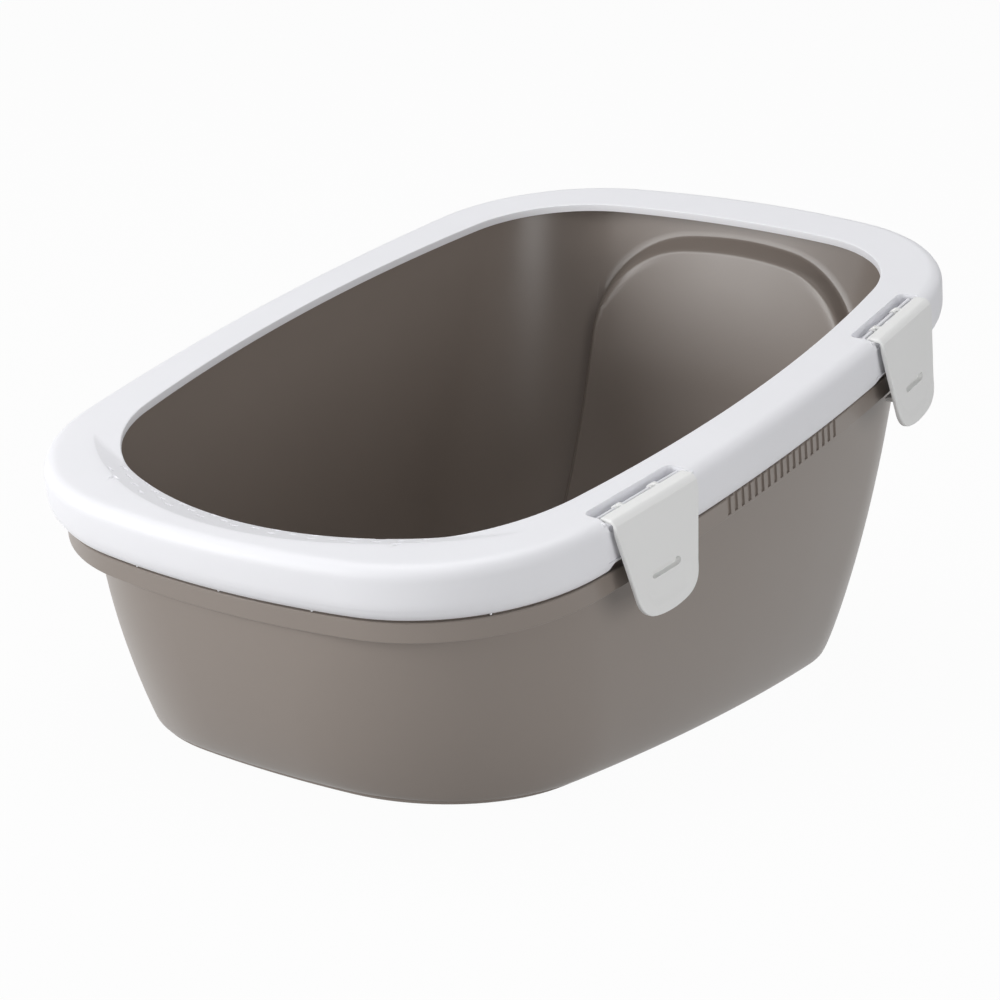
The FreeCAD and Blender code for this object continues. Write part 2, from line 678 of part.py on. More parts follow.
# Clips: drawn about the hinge axis, which runs along y; x is outward, z up.
def clip(place):
    name = "clip_" + place
    body = new_body(name)
    inner = "(pivot_inset + clip_gap)"
    outer = "(pivot_inset + clip_gap + clip_wall)"
    foot_level = "(pivot_drop - clip_length)"
    side = new_sketch(body, name + "_side", "XZ_Plane")
    polygon(side, [
        ("pivot_inset - clip_plate_inset", "pivot_drop - clip_wall"),
        (inner, "pivot_drop - clip_wall"),
        (inner + " + clip_lean", foot_level),
        (outer + " + clip_lean", foot_level),
        (outer, "pivot_drop"),
        ("pivot_inset - clip_plate_inset", "pivot_drop"),
    ])
    feature(body, "Pad", name + "_plate", side, Length="clip_width", Midplane=True)
    round_edges(body, name + "_bend", "clip_bend", lambda edge: along(edge, outer, "pivot_drop"))
    round_edges(body, name + "_inner_bend", "clip_bend - clip_wall",
                lambda edge: along(edge, inner, "pivot_drop - clip_wall"))
    # the tip: a wide arc between two corner arcs, which the tapering sides run into
    corner_x = "(clip_tip_half_width - clip_tip_corner)"
    tip_centre = "(%s + clip_tip_radius)" % foot_level
    corner_z = "(%s - sqrt((clip_tip_radius - clip_tip_corner)^2 - %s^2))" % (tip_centre, corner_x)
    shoulder = "(pivot_drop - clip_shoulder_drop)"
    across = "(clip_width / 2 - %s)" % corner_x
    rise = "(%s - %s)" % (shoulder, corner_z)
    touch = "(atan(%s / %s) - acos(clip_tip_corner / sqrt(%s^2 + %s^2)))" % (rise, across, rise, across)

    def tip(inset):
        # where the side, the corner arc and the tip's arc meet, at an inset from the outline
        corner = "(clip_tip_corner - (%s))" % inset
        grow = "(1 + %s / (clip_tip_radius - clip_tip_corner))" % corner
        side_meet = ("(%s + %s * cos(%s))" % (corner_x, corner, touch),
                     "(%s + %s * sin(%s))" % (corner_z, corner, touch))
        tip_meet = ("(%s * %s)" % (corner_x, grow),
                    "(%s + (%s - %s) * %s)" % (tip_centre, corner_z, tip_centre, grow))
        return side_meet, tip_meet

    (tip_x, tip_z), (end_x, end_z) = tip("0")
    face = new_sketch(body, name + "_face", "YZ_Plane")
    rectangle(face, "-clip_width", "clip_width", "-2 * clip_length", "pivot_drop + overrun")
    polygon(face, [
        ("-clip_width / 2 - clip_gap", "pivot_drop + overlap"),
        ("-clip_width / 2 - clip_gap", shoulder),
        ("-clip_width / 2", shoulder),
        ("-" + tip_x, tip_z, "clip_tip_corner", 1),
        ("-" + end_x, end_z, "clip_tip_radius", 1),
        (end_x, end_z, "clip_tip_corner", 1),
        (tip_x, tip_z),
        ("clip_width / 2", shoulder),
        ("clip_width / 2 + clip_gap", shoulder),
        ("clip_width / 2 + clip_gap", "pivot_drop + overlap"),
    ])
    feature(body, "Pocket", name + "_taper", face, Type="ThroughAll", Midplane=True)
    slot = new_sketch(body, name + "_slot_sketch", "YZ_Plane")
    slot_low = "(pivot_drop - slot_drop - slot_height / 2)"
    slot_high = "(pivot_drop - slot_drop + slot_height / 2)"
    slot_half = "(slot_length - slot_height) / 2"
    polygon(slot, [
        ("-" + slot_half, slot_low),
        (slot_half, slot_low, "slot_height / 2 + tolerance", 1),
        (slot_half, slot_high),
        ("-" + slot_half, slot_high, "slot_height / 2 + tolerance", 1),
    ])
    feature(body, "Pocket", name + "_slot", slot, Type="ThroughAll", Midplane=True)
    # a raised edge round the tip
    (rim_x, rim_z), (low_x, low_z) = tip("edge_width")
    share = "((pivot_drop - %s) / clip_length)" % tip_z
    edge_face = "%s + clip_lean * %s - overlap" % (outer, share)
    edge = new_sketch(body, name + "_edge_sketch", "YZ_Plane", lift=edge_face)
    polygon(edge, [
        ("-" + tip_x, tip_z, "clip_tip_corner", 1),
        ("-" + end_x, end_z, "clip_tip_radius", 1),
        (end_x, end_z, "clip_tip_corner", 1),
        (tip_x, tip_z),
        (rim_x, rim_z, "clip_tip_corner - edge_width", -1),
        (low_x, low_z, "clip_tip_radius - edge_width", -1),
        ("-" + low_x, low_z, "clip_tip_corner - edge_width", -1),
        ("-" + rim_x, rim_z),
    ])
    feature(body, "Pad", name + "_edge", edge, Length="overlap + clip_lean * (1 - %s) + edge_depth" % share)
    ring = "(pivot_radius + pivot_clearance + knuckle_wall)"
    for mark, way in (("a", "-"), ("b", "")):
        tag = "%s_knuckle_%s" % (name, mark)
        knuckle = new_sketch(body, tag + "_sketch", "XZ_Plane", lift=way + "knuckle_station")
        polygon(knuckle, [
            (ring, "0"),
            ("knuckle_arm", "0"),
            ("knuckle_arm", ring),
            ("0", ring, ring, 1),
            ("-" + ring, "0", ring, 1),
            ("0", "-" + ring, ring, 1),
        ])
        circle(knuckle, "0", "0", "pivot_radius + pivot_clearance")
        feature(body, "Pad", tag, knuckle, Length="knuckle_width", Midplane=True)
    mouth = new_sketch(body, name + "_mouth_sketch", "XZ_Plane")
    rectangle(mouth, "-knuckle_mouth / 2", "knuckle_mouth / 2", "-2 * %s" % ring, "0")
    feature(body, "Pocket", name + "_mouth", mouth, Length="clip_width", Midplane=True)
    # the hook swings past the band's lower outer corner with a small gap
    band_reach = "(pivot_inset - band_inset)"
    band_foot = "(band_drop + band_height - pivot_drop)"
    hook_radius = "(sqrt(%s^2 + %s^2) + hook_gap)" % (band_reach, band_foot)
    barb = "(%s + hook_reach)" % band_reach
    hook = new_sketch(body, name + "_hook_sketch", "XZ_Plane")
    polygon(hook, [
        (barb, "-sqrt(%s^2 - %s^2)" % (hook_radius, barb), hook_radius, 1),
        ("pivot_inset", "-sqrt(%s^2 - pivot_inset^2)" % hook_radius),
        (inner + " + clip_lean", slot_low),
        (inner + " + clip_lean", slot_low + " - hook_root"),
        (barb, "-(sqrt(%s^2 - %s^2) + hook_thickness)" % (hook_radius, barb)),
    ])
    feature(body, "Pad", name + "_hook", hook, Length="slot_length", Midplane=True)
    hinge = shifted("-pivot_inset", "0", "-pivot_drop")
    return bind(body, Placement="%s * %s" % (station_frame(place), hinge))


pieces = [tub, rim] + [clip(place) for place in STATIONS]
doc.recompute()

for item in doc.Objects:
    if "Invalid" in item.State or "Error" in item.State:
        raise RuntimeError("%s: %s" % (item.Name, item.getStatusString()))
os.makedirs("parts", exist_ok=True)
for piece in pieces:
    shape = piece.Shape
    if shape.isNull() or not shape.isValid() or len(shape.Solids) != 1:
        raise RuntimeError("%s is not one valid solid" % piece.Name)
    piece.Label = piece.Name
    shape.exportStep("parts/%s.step" % piece.Name)
    print(piece.Name, round(shape.Volume), len(shape.Faces))
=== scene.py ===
import math

import bmesh
import bpy
from mathutils import Matrix, Vector


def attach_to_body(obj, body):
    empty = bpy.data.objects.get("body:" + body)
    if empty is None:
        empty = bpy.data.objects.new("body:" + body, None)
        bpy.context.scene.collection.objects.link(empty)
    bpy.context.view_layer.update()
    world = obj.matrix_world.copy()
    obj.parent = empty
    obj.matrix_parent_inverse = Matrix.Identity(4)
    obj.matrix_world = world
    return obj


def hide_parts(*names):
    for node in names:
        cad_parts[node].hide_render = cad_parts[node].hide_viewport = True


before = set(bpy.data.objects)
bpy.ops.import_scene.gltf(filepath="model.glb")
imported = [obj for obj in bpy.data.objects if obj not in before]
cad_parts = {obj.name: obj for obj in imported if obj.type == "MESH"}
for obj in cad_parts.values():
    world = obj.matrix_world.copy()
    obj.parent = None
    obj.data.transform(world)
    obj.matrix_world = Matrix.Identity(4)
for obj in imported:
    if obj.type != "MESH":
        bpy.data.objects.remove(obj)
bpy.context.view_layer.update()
print("frame loaded:", ", ".join(sorted(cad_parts)))

# Lengths in this script are millimetres, turned into metres where a point is placed.
mm = 0.001


# Outlines are eight arcs that run into one another, the same family as the solids have.

outlineSizes = {
    # half width, front, back, side radius, front corner, back corner, front end, back end
    "rim": (194.1, 285, 285, 1534, 118, 116, 535, 510),
    "opening": (163.3, 248, 245, 1000, 96, 83, 234, 566),
    "tubTop": (172, 270, 268.8, 1400, 113, 76, 500, 500),
    "tubLow": (165, 239, 238, 1400, 145, 140, 500, 500),
    "foot": (142, 217, 206, 1403, 92, 86, 516, 393),
}
sideRadius, cornerRadii = 3, (4, 5)  # places in the rows above
rimHeight = 202.7
rimTilt = math.radians(10.76)
rimWall = 2.5
gripCount, gripPitch = 18, 6.87  # grooves along each long side
rearSpan, sideSpan = 118, 64  # columns at fixed places: across the back, and along the sides
arcStep = 15  # degrees between the points of a small arc
bevelFrom, bevelSegments = 50, 3  # a rounded prism's edges that turn more than this many degrees


def clamp(value, low=0, high=1):
    return min(max(value, low), high)


def softLeast(first, second, soft):
    # the smaller of two values, rounded where they meet
    gap = max(soft - abs(first - second), 0) / soft
    return min(first, second) - gap * gap * soft / 4


def softMost(first, second, soft):
    return -softLeast(-first, -second, soft)


def steps(low, high, count):
    # even steps from just after low up to high
    return [low + (high - low) * index / count for index in range(1, count + 1)]


def halve(low, high, tries, below):
    # closes in on the value up to which below is true
    for _ in range(tries):
        middle = (low + high) / 2
        if below(middle):
            low = middle
        else:
            high = middle
    return low, high


def cornerCentre(half, reach, side, end, corner):
    across, along = side - half, reach - end
    apart = math.hypot(across, along)
    toSide, toEnd = side - corner, end - corner
    share = (toSide ** 2 - toEnd ** 2 + apart ** 2) / (2 * apart)
    rise = math.sqrt(max(toSide ** 2 - share ** 2, 0))
    ux, uy = across / apart, along / apart
    found = [(ux * share - across - uy * rise * s, uy * share + ux * rise * s) for s in (1, -1)]
    return max(found, key=sum)


class Outline:
    # the right half of a closed outline, read at stations from the back's middle to the front's
    def __init__(self, sizes):
        self.half, self.front, self.back, self.side, self.foreR, self.rearR, self.foreE, self.rearE = sizes
        self.rear = cornerCentre(self.half, self.back, self.side, self.rearE, self.rearR)
        self.fore = cornerCentre(self.half, self.front, self.side, self.foreE, self.foreR)
        self.rearSide = math.atan2(self.rear[1], self.rear[0] - self.half + self.side)
        self.rearEnd = math.atan2(self.rear[1] - self.back + self.rearE, self.rear[0])
        self.foreSide = math.atan2(self.fore[1], self.fore[0] - self.half + self.side)
        self.foreEnd = math.atan2(self.fore[1] - self.front + self.foreE, self.fore[0])

    def at(self, station):
        # point and outward direction
        kind, place = station
        if kind == "rearX":
            if place <= self.rearE * math.cos(self.rearEnd):
                centre, radius = (0, self.back - self.rearE), self.rearE
                turn = math.acos(place / radius)
            else:
                centre, radius = self.rear, self.rearR
                turn = math.acos(min((place - centre[0]) / radius, 1))
        elif kind == "rearCorner":
            start = math.acos(clamp((rearSpan - self.rear[0]) / self.rearR, -1))
            centre, radius, turn = self.rear, self.rearR, start + (self.rearSide - start) * place
        elif kind in ("side", "sideRear", "sideFront"):
            centre, radius = (self.half - self.side, 0), self.side
            fixed = math.asin(sideSpan / radius)
            if kind == "side":
                turn = math.asin(place / radius)
            elif kind == "sideRear":
                turn = self.rearSide + (fixed - self.rearSide) * place
            else:
                turn = -fixed + (fixed - self.foreSide) * place
        elif kind == "foreCorner":
            centre, radius = (self.fore[0], -self.fore[1]), self.foreR
            turn = -self.foreSide + (self.foreSide - self.foreEnd) * place
        else:
            centre, radius = (0, self.foreE - self.front), self.foreE
            turn = -self.foreEnd + (self.foreEnd - math.pi / 2) * place
        across, along = math.cos(turn), math.sin(turn)
        return centre[0] + radius * across, centre[1] + radius * along, across, along


def makeStations(rear, corner, side, foreCorner, foreEnd, groove):
    # one list of columns for every ring of a piece
    found = [("rearX", x) for x in rear]
    found += [("rearCorner", share) for share in steps(0, 1, corner)]
    found += [("sideRear", share) for share in steps(0, 1, side)[:-1]]
    places = {sideSpan, -sideSpan, 0}
    for index in range(gripCount):
        middle = (index - (gripCount - 1) / 2) * gripPitch
        places.update(middle + way * offset for offset in groove for way in (1, -1))
    found += [("side", place) for place in sorted(places, reverse=True)]
    found += [("sideFront", share) for share in steps(0, 1, side)]
    found += [("foreCorner", share) for share in steps(0, 1, foreCorner)]
    found += [("foreEnd", share) for share in steps(0, 1, foreEnd)]
    return found


def gripOffset(station):
    # distance along the side from the middle of the nearest grip groove
    if station[0] != "side" or abs(station[1]) > gripCount * gripPitch / 2:
        return math.inf
    return abs((station[1] / gripPitch + gripCount / 2) % 1 - 0.5) * gripPitch


def wholeRing(half):
    # the left half mirrors the right one; each entry is (x, y, z)
    return half + [(-x, y, z) for x, y, z in half[-2:0:-1]]


def rimPlace(x, v, z):
    # from the rim's plane into the frame
    return (x, v * math.cos(rimTilt) - z * math.sin(rimTilt),
            rimHeight + v * math.sin(rimTilt) + z * math.cos(rimTilt))


def addObject(name, data):
    added = bpy.data.objects.new(name, data)
    bpy.context.scene.collection.objects.link(added)
    return added


def toMesh(form, name):
    mesh = bpy.data.meshes.new(name)
    form.to_mesh(mesh)
    form.free()
    return mesh


def addRow(form, points):
    return [form.verts.new([value * mm for value in point]) for point in points]


def bridge(form, lower, upper, part=0):
    # a closed band of faces between two rows
    for index in range(len(lower)):
        after = (index + 1) % len(lower)
        face = form.faces.new((lower[index], lower[after], upper[after], upper[index]))
        face.material_index = part


def weave(name, rings, closed=False, capped=False, parts=None):
    # rings of points joined into one skin; parts gives each band's material index
    form = bmesh.new()
    rows = [addRow(form, ring) for ring in rings]
    bands = list(zip(rows, rows[1:] + rows[:1] if closed else rows[1:]))
    parts = parts or [0] * len(bands)
    for (lower, upper), part in zip(bands, parts):
        bridge(form, lower, upper, part)
    if capped:
        form.faces.new(rows[0]).material_index = parts[0]
        form.faces.new(rows[-1]).material_index = parts[-1]
    bmesh.ops.recalc_face_normals(form, faces=form.faces)
    return addObject(name, toMesh(form, name))


def prism(name, points, low, high, place, rounding=0):
    # a closed outline in two directions, drawn out along the third, for cutting or joining
    form = bmesh.new()
    ends = [addRow(form, [place(a, b, level) for a, b in points]) for level in (low, high)]
    form.faces.new(ends[0])
    form.faces.new(ends[1])
    bridge(form, *ends)
    bmesh.ops.recalc_face_normals(form, faces=form.faces)
    if rounding:
        sharp = [edge for edge in form.edges if edge.calc_face_angle(0) > math.radians(bevelFrom)]
        bmesh.ops.bevel(form, geom=sharp, offset=rounding * mm, segments=bevelSegments, profile=0.5,
                        affect="EDGES", clamp_overlap=True)
    return toMesh(form, name)


# The three ways to draw a prism out at a clip: up, outward, or along the side.
def drawnUp(place):
    return lambda a, b, level: place(b, a, level)


def drawnOut(place):
    return lambda a, b, level: place(level, a, b)


def drawnAlong(place):
    return lambda a, b, level: place(a, level, b)


def gather(form, meshes):
    for mesh in meshes:
        form.from_mesh(mesh)
        bpy.data.meshes.remove(mesh)


def merge(name, meshes):
    # several meshes as one
    form = bmesh.new()
    gather(form, meshes)
    return toMesh(form, name)


def attach(piece, meshes):
    # loose shells added to a piece's mesh
    form = bmesh.new()
    form.from_mesh(piece.data)
    gather(form, meshes)
    form.to_mesh(piece.data)
    form.free()


def carve(piece, mesh, operation="DIFFERENCE"):
    # a boolean with a mesh, applied at once
    tool = addObject("tool", mesh)
    modifier = piece.modifiers.new("carve", "BOOLEAN")
    modifier.object = tool
    modifier.operation = operation
    modifier.solver = "EXACT"
    result = bpy.data.meshes.new_from_object(piece.evaluated_get(bpy.context.evaluated_depsgraph_get()))
    piece.modifiers.clear()
    bpy.data.objects.remove(tool)
    piece.data = result


def roundedBox(half, low, high, radius=0, rounded=()):
    # a rectangle in two directions with chosen corners rounded: lowLeft, lowRight, highRight, highLeft
    points = []
    for index, (side, level, start) in enumerate(((-1, low, 180), (1, low, 270), (1, high, 0), (-1, high, 90))):
        if index not in rounded:
            points.append((side * half, level))
            continue
        centre = (side * (half - radius), level + (radius if level == low else -radius))
        for turn in range(0, 91, arcStep):
            angle = math.radians(start + turn)
            points.append((centre[0] + radius * math.cos(angle), centre[1] + radius * math.sin(angle)))
    return points


def smooth(piece, angle):
    # smooth shading but for edges that turn more than the angle
    piece.data.polygons.foreach_set("use_smooth", [True] * len(piece.data.polygons))
    piece.data.set_sharp_from_angle(angle=math.radians(angle))


# What is joined to or cut from tub and rim at each clip. A box has half its width, its near and far edge,
# and a radius with the corners it rounds. It lies in the rim's plane and is drawn from level to level.
clipSeat = {
    "station": 136.8,  # along the side from the middle
    "notch": {"box": (48, -21.2, 2, 2, (0, 1)), "levels": (-34.8, 0)},
    "block": {"box": (38.5, -20.5, -2.3), "levels": (-9, -1.3)},
    "pocket": {"box": (36.5, -18.5, 5, 4.5, (0, 1)), "levels": (-7, 5)},
    "recess": {"box": (38, -2.0, 5), "levels": (-24, -6)},
    "cutout": {"box": (33, -40, -26, 3, (2, 3)), "levels": (-13.6, 5)},  # upright, drawn outward
    "pivot": (-12.2, -3.5), "barRadius": 1.2, "barHalf": 37, "barSides": 16,
    "post": (-13.7, -10.7, -7.5, -3.5), "postHalf": 1.5,
}


def stationPlace(way):
    # frame of a clip on the right side: x outward, y along the side, z out of the rim's plane
    half, side = outlineSizes["rim"][0], outlineSizes["rim"][sideRadius]
    station = clipSeat["station"]
    reach = half - side + math.sqrt(side ** 2 - station ** 2)
    turn = way * math.asin(station / side)

    def place(x, y, z):
        return rimPlace(reach + x * math.cos(turn) - y * math.sin(turn),
                        way * station + x * math.sin(turn) + y * math.cos(turn), z)
    return place


def seatMesh(kind, place, drawn=drawnUp):
    return prism(kind, roundedBox(*clipSeat[kind]["box"]), *clipSeat[kind]["levels"], drawn(place))


stationPlaces = {"clip_front_right": stationPlace(-1), "clip_rear_right": stationPlace(1)}
print("outlines ready")


# The tub has outside, flange, band and inside in one skin.

tubShape = {
    "wall": 2.6, "floor": 2.8, "foot": 3.0, "footWall": 3.0, "footEdge": 0.4,
    "bendShare": 0.61, "bendInset": 19.5, "bendCorner": 30.5, "bendRows": 20, "bendPace": 1.15,
    "skirtInset": 11.1, "bandInset": 8.3, "flangeWall": 2.5, "bandDrop": 34.8, "bandHeight": 12.0,
    "archHalf": 100, "archHeight": 231, "archTop": 300, "archCorner": 70, "archDepth": 8,
    "archFrom": 60,  # only the wall behind this place carries the arch
    "archLean": 0.035, "leanDrop": 80,  # the panel leans a little more than the wall round it
    "ledgeSoft": 1.6, "ledgeTop": 8, "ledgeSide": 4.2,  # slope of the arch's ledge, at crown and legs
    "ledgeGap": 0.01,  # least gap between the rows along the ledge
    "grooveHalf": 1.6, "grooveDepth": 1.2, "grooveLow": 10.2, "grooveEase": 0.3,
    "grooveSlack": 0.1, "grooveSlope": 0.25,  # columns stand at both ends of a groove's sloping flank
    "edge": 0.5,  # rounding of the flange's and band's edges
    "footCap": (0.02, 0.5), "floorCap": (0.985, 0.6, 0.02), "floorDip": 0.05,  # rings that close the floor
    "wallEnds": (1.985, 2.01), "levelMost": 2.05, "levelTries": 22, "sharpFrom": 28,
}


def archLine():
    # crown arc, corner arcs and legs of the arch: the radii, the crown's centre, the legs' top, and where
    # crown and corner meet
    half, top, corner = (tubShape[key] for key in ("archHalf", "archTop", "archCorner"))
    centre = tubShape["archHeight"] - top
    rise = math.sqrt((top - corner) ** 2 - (half - corner) ** 2)
    grow = top / (top - corner)
    return half, top, corner, centre, centre + rise, (half - corner) * grow


def archCrest(x):
    # height of the arch's line above a place across it
    half, top, corner, centre, legTop, meet = archLine()
    x = min(abs(x), half)
    if x < meet:
        return centre + math.sqrt(top ** 2 - x ** 2)
    return legTop + math.sqrt(max(corner ** 2 - (x - half + corner) ** 2, 0))


def archDepthAt(x, z):
    # how deep a point lies inside the arch's line
    half, top, corner, centre, legTop, meet = archLine()
    if z < legTop:
        return half - abs(x)
    spread = abs(x) / max(z - centre, 1)
    if spread < meet / math.sqrt(top ** 2 - meet ** 2):
        return top - math.hypot(x, z - centre)
    return corner - math.hypot(abs(x) - half + corner, z - legTop)


def archShift(x, z):
    # how far the arched panel pushes the wall in
    shape = tubShape
    side = min(abs(x) / shape["archHalf"], 1)
    ledge = shape["ledgeTop"] + (shape["ledgeSide"] - shape["ledgeTop"]) * side ** 3
    soft = shape["ledgeSoft"] / ledge
    share = softMost(softLeast(archDepthAt(x, z) / ledge, 1, soft), 0, soft)
    below = clamp(shape["archHeight"] - shape["ledgeTop"] - z, 0, shape["leanDrop"])
    return -clamp(share) * (shape["archDepth"] + shape["archLean"] * below)


class Bowl:
    # the bowl's wall at any share of its height
    def __init__(self, inset, floor):
        self.inset, self.floor = inset, floor
        self.top = rimHeight - (rimWall + tubShape["flangeWall"] / 2) / math.cos(rimTilt)
        self.cache = {}

    def outline(self, share, turn):
        key = (share, turn)
        if key not in self.cache:
            sizes = []
            for index, (low, top) in enumerate(zip(outlineSizes["tubLow"], outlineSizes["tubTop"])):
                shrink = tubShape["bendInset"] * turn
                if index in cornerRadii:
                    shrink += tubShape["bendCorner"] * turn ** 2
                if index == sideRadius:
                    shrink = 0
                sizes.append(low + (top - low) * share - self.inset - shrink)
            self.cache[key] = Outline(sizes)
        return self.cache[key]

    def point(self, level, station):
        # level under 1 is on the bend, from 1 to 2 on the upper wall
        if level < 1:
            turn = math.radians(90 * (1 - level))
            share, bend = tubShape["bendShare"] * (1 - math.sin(turn)), 1 - math.cos(turn)
        else:
            share, bend = tubShape["bendShare"] + (1 - tubShape["bendShare"]) * (level - 1), 0
        x, v = self.outline(share, bend).at(station)[:2]
        lift = self.floor + (self.top - self.floor) * share
        tilt = rimTilt * share
        return x, v * math.cos(tilt), lift + v * math.sin(tilt)

    def levelAt(self, height, station):
        most, tries = tubShape["levelMost"], tubShape["levelTries"]
        return sum(halve(0.0, most, tries, lambda level: self.point(level, station)[2] < height)) / 2


# Columns and rows stand close where the arch's ledge runs.
rearPlaces = [0, 8, 16, 24, 32, 40, 47, 54, 60, 66, 71, 76, 80, 84, 87, 90, 92, 93.5, 94.6, 95.0, 95.3, 95.6, 95.9,
              96.2, 96.6, 97.6, 98.4, 99.1, 99.4, 99.7, 100, 100.3, 100.6, 101, 104, 108, 113, rearSpan]
tubStations = makeStations(rearPlaces, corner=16, side=10, foreCorner=22, foreEnd=20,
                           groove=(tubShape["grooveHalf"], tubShape["grooveHalf"] - tubShape["grooveSlope"]))
crestLevel, innerLevel = 1.72, 1.6  # the rows that follow the ledge's two lines
bendLevels = [1 - (1 - step / tubShape["bendRows"]) ** tubShape["bendPace"] for step in range(tubShape["bendRows"])]
wallLevels = [1 + 0.58 * step / 9 for step in range(10)]
wallLevels += [1.588, 1.594, innerLevel, 1.608, 1.616, 1.63, 1.66, 1.69, 1.704, 1.712, crestLevel, 1.726, 1.732,
               1.78, 1.84, 1.9, 1.95]
rimOutline = Outline(outlineSizes["rim"])
footOutline = Outline(outlineSizes["foot"])


def bentLevel(level, fixed, moved):
    # a row's level once the levels in fixed have gone to those in moved
    for index in range(len(fixed) - 1):
        low, high = fixed[index:index + 2]
        if level <= high:
            return moved[index] + (level - low) * (moved[index + 1] - moved[index]) / (high - low)


def bowlRings(bowl, levels):
    # rows bend so that two of them follow the arch's lines, then the panel steps inward
    shape, last = tubShape, levels[-1]
    columns = []
    for station in tubStations:
        column = levels
        if station[0] == "rearX":
            x = station[1]
            crest = bowl.levelAt(archCrest(x), station)
            innerHeight = archCrest(min(x, shape["archHalf"] - shape["ledgeSide"])) - shape["ledgeTop"]
            inner = min(bowl.levelAt(innerHeight, station), crest - shape["ledgeGap"])
            fade = 1 - clamp((x - shape["archHalf"]) / (rearSpan - shape["archHalf"]))
            bent = [bentLevel(level, (0, innerLevel, crestLevel, last), (0, inner, crest, last)) for level in levels]
            column = [level + (moved - level) * fade for level, moved in zip(levels, bent)]
        points = [bowl.point(level, station) for level in column]
        columns.append([(x, y + archShift(x, z) if y > shape["archFrom"] else y, z) for x, y, z in points])
    return [wholeRing([column[row] for column in columns]) for row in range(len(levels))]


def rimRing(inset, drop, groove=0):
    # a ring inside the rim's outline, under the rim's plane, with the grip's grooves cut in
    found, half = [], tubShape["grooveHalf"] - tubShape["grooveSlack"]
    for station in tubStations:
        x, v, nx, ny = rimOutline.at(station)
        depth = inset + (groove if gripOffset(station) < half else 0)
        found.append(rimPlace(x - nx * depth, v - ny * depth, -drop))
    return wholeRing(found)


def footRing(inset, z):
    found = []
    for station in tubStations:
        x, y, nx, ny = footOutline.at(station)
        found.append((x - nx * inset, y - ny * inset, z))
    return wholeRing(found)


def shrunk(ring, share, z):
    return [(x * share, y * share, z) for x, y, _ in ring]


def makeTub():
    shape = tubShape
    foot, footWall, footEdge = shape["foot"], shape["footWall"], shape["footEdge"]
    floor = foot + shape["floor"]
    under = footRing(footWall, foot)
    rings = [shrunk(under, share, foot) for share in shape["footCap"]]
    rings += [under, footRing(footWall, footEdge), footRing(footWall - footEdge, 0),
              footRing(footEdge, 0), footRing(0, footEdge), footRing(0, foot)]
    outerEnd, innerEnd = shape["wallEnds"]
    rings += bowlRings(Bowl(0, foot), bendLevels + wallLevels + [outerEnd])
    skirt, band, wall, edge = (shape[key] for key in ("skirtInset", "bandInset", "flangeWall", "edge"))
    low, end = shape["bandDrop"], shape["bandDrop"] + shape["bandHeight"]
    under = rimWall + wall
    groove, grooveEnd = shape["grooveDepth"], low + shape["grooveLow"]
    # each row is an inset, a drop and the grooves' depth
    rings += [rimRing(*row) for row in (
        (skirt + wall + 1, under), (skirt + wall, under + 1), (skirt + wall, low + wall),
        (band + wall, low + wall), (band + wall, end), (band + edge, end), (band, end - edge),
        (band, grooveEnd + shape["grooveEase"]), (band, grooveEnd, groove), (band, low + edge, groove),
        (band + edge, low, groove), (skirt, low), (skirt, rimWall + edge), (skirt + edge, rimWall))]
    skinOut = len(rings)
    rings += bowlRings(Bowl(shape["wall"], floor), bendLevels + wallLevels + [innerEnd])[::-1]
    floorRing = rings[-1]
    rings += [shrunk(floorRing, share, floor - shape["floorDip"]) for share in shape["floorCap"]]
    # the inside takes the second slot, the darker copy of the tub's plastic that paints the bowl's shade
    parts = [0 if index < skinOut else 1 for index in range(len(rings) - 1)]
    piece = weave("tubShell", rings, capped=True, parts=parts)
    carve(piece, merge("notches", [seatMesh("notch", place) for place in stationPlaces.values()]))
    smooth(piece, shape["sharpFrom"])
    return piece


tubPiece = makeTub()
print("tub made:", len(tubPiece.data.polygons))


# The rim has lip, sloping step with its slots, top, side, tuck and underside in one skin.

rimShape = {
    "depth": 33.1, "topRound": 8.0, "tuckDrop": 19.0, "tuckRadius": 16.25, "edge": 0.4,
    "lip": 4.6, "lipEdge": 0.7, "lipSoft": 0.2,
    "stepAxis": 63, "stepRadius": 205, "stepSlope": 16.7, "stepHalf": 150, "stepRamp": 6.0, "soft": 0.5,
    "stepRows": 48, "stepInset": 0.7, "stepShares": (0.3, 0.85), "stepTries": 16, "topRows": 7,
    "slotAxis": 60, "slotOuter": 317.7, "slotRow": 4.1, "slotRows": 5, "slotShift": 10.7, "slotPitch": 24.4,
    "slotLength": 5.4, "slotWidth": 1.9, "slotDepth": 0.6, "slotReach": 111, "slotEase": 0.35,
    "creaseDrop": 24.6, "creaseStep": 0.7, "creaseEase": 0.3,  # the faint crease above the lower edge
    "creaseFrom": 70, "creaseFade": 50,  # it shows at the front only
    "sideDrops": (13.5, 19, 21, 23), "creaseShares": (0, 0.15, 0.35, 0.55, 0.75, 0.9, 1),
    "innerDrops": (30, 27, 23, 19, 8), "innerEdge": 0.3, "innerRows": 3,
    "underShares": (0.75, 0.5, 0.3), "underRise": 1.2, "sharpFrom": 32,
    "scallopHalf": 2.3, "scallopRise": 1.7,
    "nubs": (("foreCorner", 0.47), ("foreEnd", 0.28), ("foreEnd", 1)),
    "nubWidth": 1.3, "nubDrop": 1.2, "nubInset": 1.1, "nubSides": 12, "nubEdge": 0.25,
}
openingOutline = Outline(outlineSizes["opening"])
rimStations = makeStations([0, 12, 24, 36, 48, 60, 70, 78, 84, 90, 96, 102, 110, rearSpan],
                           corner=22, side=16, foreCorner=150, foreEnd=120, groove=(0.9, 1.5, 2.0, 2.4))


